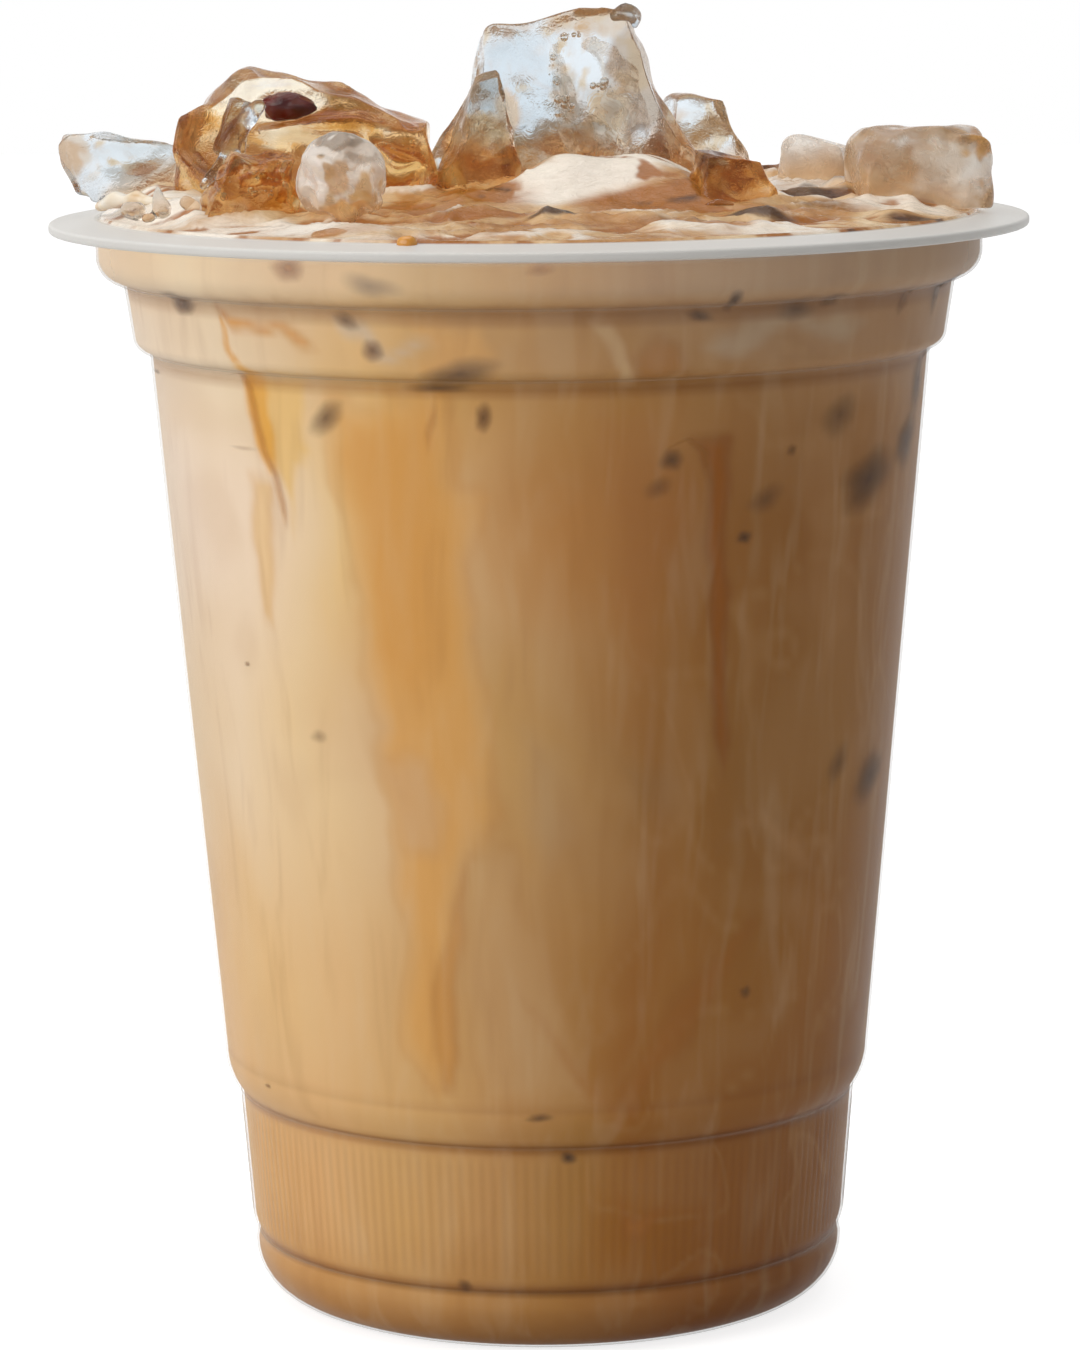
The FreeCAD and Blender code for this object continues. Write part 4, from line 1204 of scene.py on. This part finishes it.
iceTones = {
    # plain, stained and deep colour, the colour at the foot, how far the stain spreads
    "clear": ("DCE4EA", "CDB08A", "A87C4C", "D8B488", 0.16),
    "stained": ("F0E2C6", "D8A258", "9A6222", "D0964A", 0.40),
    "frosted": ("F2EFE9", "D0B694", "A07E58", "D8B488", 0.22),
}
iceStainsAndGlints = {
    # east, north and up of the middle, half sizes, colour, strength
    "ice_tall": (
        (-2.0, -9.0, 119.0, 4.5, 7.0, 5.5, "BFCED9", 0.95),
        (9.8, -5.0, 120.0, 3.4, 8.0, 5.6, "8E7050", 0.9), (5.0, -3.0, 125.6, 4.4, 7.0, 1.8, "BE9C74", 0.8),
        (-3.0, -4.0, 125.0, 3.0, 5.0, 0.9, "A88662", 0.7), (6.5, -9.0, 117.0, 2.8, 6.0, 3.0, "BCC0C0", 0.8),
        (-6.0, -7.0, 113.8, 3.2, 7.0, 2.8, "D2A058", 0.9),
        (-3.3, -9.0, 116.6, 1.4, 5.0, 2.6, "CC9A5C", 0.8), (2.6, -9.0, 118.6, 1.3, 5.0, 3.4, "B8A488", 0.8),
        (3.0, -9.0, 113.4, 3.4, 6.0, 1.6, "C8B090", 0.8), (12.6, -5.0, 113.4, 2.4, 6.0, 2.4, "C8A078", 0.7),
    ),
    "ice_dome": (
        (-26.0, -4.0, 119.8, 8.0, 11.0, 2.6, "E6E2DA", 0.95),
        (-17.0, -4.0, 118.8, 7.0, 11.0, 1.8, "E8E2D6", 0.9),
        (-33.0, -5.0, 113.6, 2.6, 7.0, 3.4, "C49256", 0.7),
        (-12.6, -8.0, 112.0, 4.6, 6.0, 3.6, "D09040", 0.9),
        (-21.0, -9.0, 113.4, 5.0, 6.0, 2.4, "D2A058", 0.8),
        (-28.4, -7.0, 114.0, 3.0, 5.0, 2.6, "B89468", 0.8),
        (-20.0, -7.0, 116.0, 6.0, 4.0, 0.8, "C48A3C", 0.7),
    ),
    "ice_slab": ((-38.0, -2.0, 112.6, 6.0, 8.0, 2.0, "C4CCD0", 0.9),
        (-46.0, 1.0, 112.0, 2.0, 6.0, 3.0, "C0A280", 0.85)),
    "ice_rear": ((12.0, 9.0, 113.0, 3.6, 7.0, 3.0, "C09C70", 0.7),
        (17.0, 9.0, 114.6, 3.0, 7.0, 2.4, "D4DCE0", 0.9)),
    "ice_block": (
        (32.6, -6.0, 111.0, 4.2, 7.0, 3.2, "AC8860", 0.85),
        (38.4, -6.0, 112.4, 3.0, 7.0, 3.0, "C8B298", 0.7),
        (42.6, -5.0, 113.4, 1.8, 5.0, 1.6, "CC9240", 0.85),
        (36.0, -6.0, 114.6, 5.0, 7.0, 0.9, "B49470", 0.7),
    ),
    "ice_facet": ((16.0, -13.0, 112.4, 2.2, 5.0, 1.4, "5C3616", 0.8),
        (19.6, -14.0, 111.0, 2.0, 4.0, 1.6, "D8AC6C", 0.8)),
    "ice_gold": ((-5.4, -9.0, 118.0, 5.0, 7.0, 4.4, "E2E6E6", 0.95),
        (-7.6, -11.0, 111.4, 3.0, 4.0, 2.2, "DDB070", 0.8)),
    "ice_amber": ((-30.4, -19.0, 109.0, 3.0, 5.0, 2.6, "B87C30", 0.85),
        (-24.6, -20.0, 111.6, 3.0, 5.0, 1.8, "D8A048", 0.8)),
    "ice_oval": (
        (-18.6, -22.0, 115.0, 2.4, 5.0, 0.7, "8E8478", 0.8),
        (-16.6, -22.0, 113.6, 1.6, 5.0, 0.7, "A89C8E", 0.7),
        # painted golden glints low on the right, in the amber of the coffee
        (-17.2, -23.0, 108.6, 3.0, 5.0, 1.1, "E0A044", 0.9),
        (-21.4, -23.0, 111.6, 1.8, 5.0, 3.0, "FAF8F4", 0.9),
        (-18.6, -24.0, 111.6, 1.0, 5.0, 1.6, "C8A070", 0.8),
        (-16.0, -23.0, 110.8, 1.0, 5.0, 1.6, "D8B070", 0.8),
    ),
}


def soakIce(mesh, name, finish):
    # the stain of the coffee that ran over the ice and soaks up from the drink, with painted golden glints
    # low on the oval
    plain, stain, deep, foot, spread = iceTones[finish]
    spots = spotsOf(mesh)
    slow, quick = noiseAt(spots, 0.22, 2.0), noiseAt(spots, 0.75, 6.0)
    tone = np.tile(colour(plain)[:3], (len(spots), 1))
    blendIn(tone, stain, softStep(slow + quick * 0.5, 0.42 - spread, 0.62 - spread))
    blendIn(tone, deep, softStep(slow + quick * 0.6, 0.72 - spread, 0.9 - spread) * 0.8)
    bent = spots + np.stack([quick, slow, quick], 1) * 1.1
    for east, north, up, wide, far, tall, code, strength in iceStainsAndGlints.get(name, ()):
        reach = (((bent - (east, north, up)) / (wide, far, tall)) ** 2).sum(1)
        blendIn(tone, code, softStep(reach, 1.35, 0.65) * strength)
    level = np.array([z - surfaceHeight(x, y) for x, y, z in spots]) + slow * 2.0
    blendIn(tone, foot, 0.85 * softStep(level, 3.6, 0.2))
    keepColours(mesh, "iceTone", tone)


def makeIcePiece(node, seed):
    voxel, *wear, finish = iceForms[node]
    parts = [cadNodes[node].data] + [strandMesh(points) for points in iceStrands.get(node, ())]
    mesh = joined(node, parts, voxel)
    wearDown(mesh, *wear, seed, iceHollows.get(node, ()))
    soakIce(mesh, node, finish)
    piece = newPiece(node.replace("_", "") + "Piece", mesh, finish)
    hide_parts(node)
    piece.visible_shadow = False   # ice lets the light through to what it stands on


for seed, node in enumerate(iceNodes):
    makeIcePiece(node, seed)
print("ice worn")


# folds of cream, melt, beads, drops and a dark lens on and around the ice

trimForms = {
    # name: (finish, slot, voxel mm, smoothing, ripple mm, strands)
    "creamFold": ("cream", "latte", 0.26, 12, 0.3, (
        ((-42.4, -3.0, 108.0, 0.9), (-40.4, -7.6, 108.8, 1.1), (-37.6, -11.0, 109.0, 1.0),
            (-34.8, -12.8, 108.8, 0.8)),
    )),
    "meltLens": ("clear", "ice_clear", 0.2, 6, 0.1, (
        ((-20.4, -34.2, 107.1, 0.5), (-18.6, -34.8, 107.3, 0.8), (-16.4, -34.2, 107.0, 0.5)),
        ((-7.6, -28.0, 107.4, 0.25), (-6.2, -28.2, 107.6, 0.45), (-4.4, -27.8, 107.4, 0.25)),
        ((15.6, -18.8, 108.6, 0.3), (16.8, -19.0, 108.8, 0.55), (18.2, -18.8, 108.6, 0.35)),
    )),
    "iceKnob": ("clear", "ice_clear", 0.13, 3, 0.06, (
        ((7.4, -3.6, 125.7, 0.6), (8.5, -4.0, 126.1, 0.95), (9.3, -3.8, 125.7, 0.85),
            (9.4, -3.4, 124.8, 0.4)),
    )),
    "coffeeDrop": ("syrup", "ice_coffee", 0.14, 3, 0.02, (
        ((-12.1, -41.5, 106.9, 0.75), (-11.6, -41.7, 106.9, 0.8)),
    )),
    "tallCore": ("frost", "ice_clear", 0.3, 6, 0.6, (
        ((1.6, -3.0, 122.6, 1.2), (2.2, -3.4, 119.6, 1.6), (3.0, -3.4, 116.6, 2.0),
            (4.0, -3.0, 113.6, 2.2)),
        ((5.0, -2.0, 123.0, 1.2), (7.4, -3.0, 120.6, 2.0), (8.2, -3.4, 117.0, 2.6),
            (8.6, -3.4, 113.6, 2.6)),
    )),
    "iceBeads": ("clear", "ice_clear", 0.14, 3, 0.08, (
        ((-38.4, -18.6, 108.6, 0.9), (-37.6, -19.0, 108.5, 1.0)),
        ((-35.6, -19.2, 110.6, 0.35), (-35.5, -19.6, 109.6, 0.7), (-35.2, -20.2, 108.7, 1.05)),
        ((-33.0, -18.0, 109.2, 0.8), (-32.4, -17.8, 108.8, 0.8)),
        ((-36.6, -20.8, 108.0, 0.6), (-36.2, -20.8, 108.0, 0.55)),
    )),
}
trimDents = (3.0, 2.4)   # sizes of a trim's facets and ripples, mm


def makeTrim(name, seed):
    finish, slot, voxel, smoothing, ripple, strands = trimForms[name]
    mesh = joined(name, [strandMesh(points) for points in strands], voxel)
    wearDown(mesh, smoothing, ripple, trimDents[0], ripple, trimDents[1], seed)
    if finish in iceTones:
        soakIce(mesh, name, finish)
    piece = newPiece(name, mesh, finish)
    piece.visible_shadow = finish not in ("clear", "frost")


for seed, name in enumerate(trimForms):
    makeTrim(name, seed + 40)


darkLensForm = {
    "middle": (-24.2, -6.0, 117.4),
    "wide": (2.5, 0.6),    # half width in mm, and how much more of it at the right
    "deep": 1.5,
    "tall": 1.2,
    "sag": (1.4, -0.5),    # the lower half's height, and how much less of it at the right
    "fall": 0.2,
    "rough": 0.22,
}


def makeDarkLens():
    # a dark maroon lens shut in the hollow under the skin of the big lump
    form = darkLensForm
    lens = bmesh.new()
    bmesh.ops.create_icosphere(lens, subdivisions=4, radius=1.0)
    for vertex in lens.verts:
        x, y, z = vertex.co
        rough = 1 + form["rough"] * noise.noise(vertex.co * 1.7 + Vector((4, 1, 2)))
        wide = form["wide"][0] + form["wide"][1] * x
        tall = form["tall"] if z > 0 else form["sag"][0] + form["sag"][1] * x
        spot = Vector((x * wide * rough, y * form["deep"] * rough, z * tall * rough - x * form["fall"]))
        vertex.co = (Vector(form["middle"]) + spot) * mm
    mesh = bpy.data.meshes.new("darkPool")
    lens.to_mesh(mesh)
    lens.free()
    mesh.shade_smooth()
    keepValues(mesh, "deep", np.ones(len(mesh.vertices)))
    newPiece("darkPool", mesh, "syrup")


makeDarkLens()


airForms = {
    # groups of bubbles shut in the ice: middle and spread in mm, and how many
    "tallBubbles": (((1.6, -5.4, 120.6), (0.5, 0.8, 1.6), 12), ((2.8, -5.8, 117.6), (0.8, 0.9, 1.3), 14),
        ((3.4, -4.8, 124.0), (0.8, 0.8, 0.5), 6), ((6.6, -5.2, 119.2), (1.4, 0.8, 0.6), 8)),
    "amberBubbles": (((-30.0, -19.0, 110.6), (1.2, 0.5, 1.0), 10),
        ((-26.0, -19.6, 110.8), (1.6, 0.6, 1.0), 12)),
    "domeBubbles": (((-13.6, -6.6, 113.6), (1.6, 0.8, 1.0), 8),
        ((-28.6, -5.0, 114.6), (2.2, 0.8, 1.4), 10)),
    "blockBubbles": (((34.0, -7.6, 110.4), (2.6, 0.8, 1.4), 14),
        ((39.4, -7.6, 110.0), (2.0, 0.8, 1.0), 12)),
}
bubbleSize = (0.10, 0.42)   # the least radius in mm, and the most that is added


def makeBubbles(name, seed):
    pick = np.random.default_rng(seed)
    balls = bmesh.new()
    for middle, spread, count in airForms[name]:
        for _ in range(count):
            spot = np.array(middle) + pick.uniform(-1, 1, 3) * spread
            radius = (bubbleSize[0] + bubbleSize[1] * pick.random() ** 3) * mm
            place = Matrix.Translation(Vector(spot) * mm)
            bmesh.ops.create_icosphere(balls, subdivisions=2, radius=radius, matrix=place)
    mesh = bpy.data.meshes.new(name)
    balls.to_mesh(mesh)
    balls.free()
    mesh.shade_smooth()
    newPiece(name, mesh, "air")


for seed, name in enumerate(airForms):
    makeBubbles(name, seed + 5)
print("cream, pools and bubbles set")


# the table, the lamps and the camera

stageLook = {
    "size": 3.2,           # metres
    "grey": 0.5, "rough": 0.6, "glow": 0.8,
    "sky": 0.46,           # light from all round
    "ceiling": "9CA4AA",   # what ice and plastic bend and mirror from above
    "ceilingFrom": (0.10, 0.75),   # how high it starts and is full, 1 straight up
    "frontFrom": (0.1, -0.8), "front": 0.75,   # the same towards the front, and how full
}


def makeStage():
    bpy.ops.mesh.primitive_plane_add(size=stageLook["size"], location=(0, 0.4, 0))
    floor = bpy.context.object
    floor.name = "tableTop"
    material, tree, shader = newMaterial("tableWhite", Roughness=stageLook["rough"])
    shader.inputs["Base Color"].default_value = (*[stageLook["grey"]] * 3, 1)
    rays = put(tree, "ShaderNodeLightPath").outputs
    bent = calc(tree, "MAXIMUM", rays["Is Glossy Ray"], rays["Is Transmission Ray"])
    seen = calc(tree, "MAXIMUM", rays["Is Camera Ray"], bent)
    feed(tree, shader.inputs["Emission Strength"], calc(tree, "MULTIPLY", seen, stageLook["glow"]))
    shader.inputs["Emission Color"].default_value = (1, 1, 1, 1)
    floor.data.materials.append(material)


def makeWorld():
    # a white studio whose ceiling and front end are darker, so that ice has something to bend
    world = bpy.data.worlds.new("studio")
    bpy.context.scene.world = world
    world.use_nodes = True
    tree = world.node_tree
    back = tree.nodes["Background"]
    rays = put(tree, "ShaderNodeLightPath").outputs
    sky = put(tree, "ShaderNodeTexCoord").outputs["Generated"]
    way = put(tree, "ShaderNodeSeparateXYZ", {"Vector": sky}).outputs
    ceiling = fade(tree, way["Z"], *stageLook["ceilingFrom"])
    front = fade(tree, way["Y"], *stageLook["frontFrom"], 0.0, stageLook["front"])
    white, shade = colour("FFFFFF"), colour(stageLook["ceiling"])
    room = tint(tree, calc(tree, "MAXIMUM", ceiling, front), white, shade)
    bent = calc(tree, "MAXIMUM", rays["Is Glossy Ray"], rays["Is Transmission Ray"])
    bent = calc(tree, "MULTIPLY", bent, calc(tree, "SUBTRACT", 1.0, rays["Is Camera Ray"]))
    feed(tree, back.inputs["Color"], tint(tree, bent, white, room))
    seen = calc(tree, "MAXIMUM", rays["Is Camera Ray"], bent)
    power = calc(tree, "MULTIPLY_ADD", seen, 1 - stageLook["sky"], stageLook["sky"])
    feed(tree, back.inputs["Strength"], power)


lampForm = {
    # place, aim, width, height in metres, power in watts
    "key": ((-0.62, -0.42, 0.42), (0, 0, 0.07), 0.5, 0.6, 3.1),
    "top": ((-0.1, 0.05, 0.75), (0, 0, 0.1), 0.6, 0.6, 2.2),
}


def makeLamp(name):
    place, aim, wide, tall, power = lampForm[name]
    data = bpy.data.lights.new(name + "Light", "AREA")
    data.shape = "RECTANGLE"
    data.size, data.size_y = wide, tall
    data.energy = power
    lamp = bpy.data.objects.new(name + "Light", data)
    lamp.location = place
    lamp.rotation_euler = (Vector(aim) - Vector(place)).to_track_quat("-Z", "Y").to_euler()
    bpy.context.scene.collection.objects.link(lamp)


cameraForm = {
    # metres, degrees and millimetres
    "place": (-0.000307, -0.510, 0.141457), "pitch": 8.9404, "roll": 0.555, "lens": 139.69, "sensor": 36,
}


def makeCamera():
    form = cameraForm
    data = bpy.data.cameras.new("camera")
    data.lens = form["lens"]
    data.sensor_width = form["sensor"]
    data.clip_start = 0.01
    camera = bpy.data.objects.new("camera", data)
    camera.location = form["place"]
    tilt = math.radians(90 - form["pitch"])
    facing = Vector((0, math.sin(tilt), -math.cos(tilt))).to_track_quat("-Z", "Y").to_matrix()
    camera.rotation_euler = (facing @ Matrix.Rotation(math.radians(-form["roll"]), 3, "Z")).to_euler()
    bpy.context.scene.collection.objects.link(camera)
    bpy.context.scene.camera = camera


makeStage()
makeWorld()
for name in lampForm:
    makeLamp(name)
makeCamera()
bpy.context.scene.view_settings.view_transform = "Standard"
print("stage set")
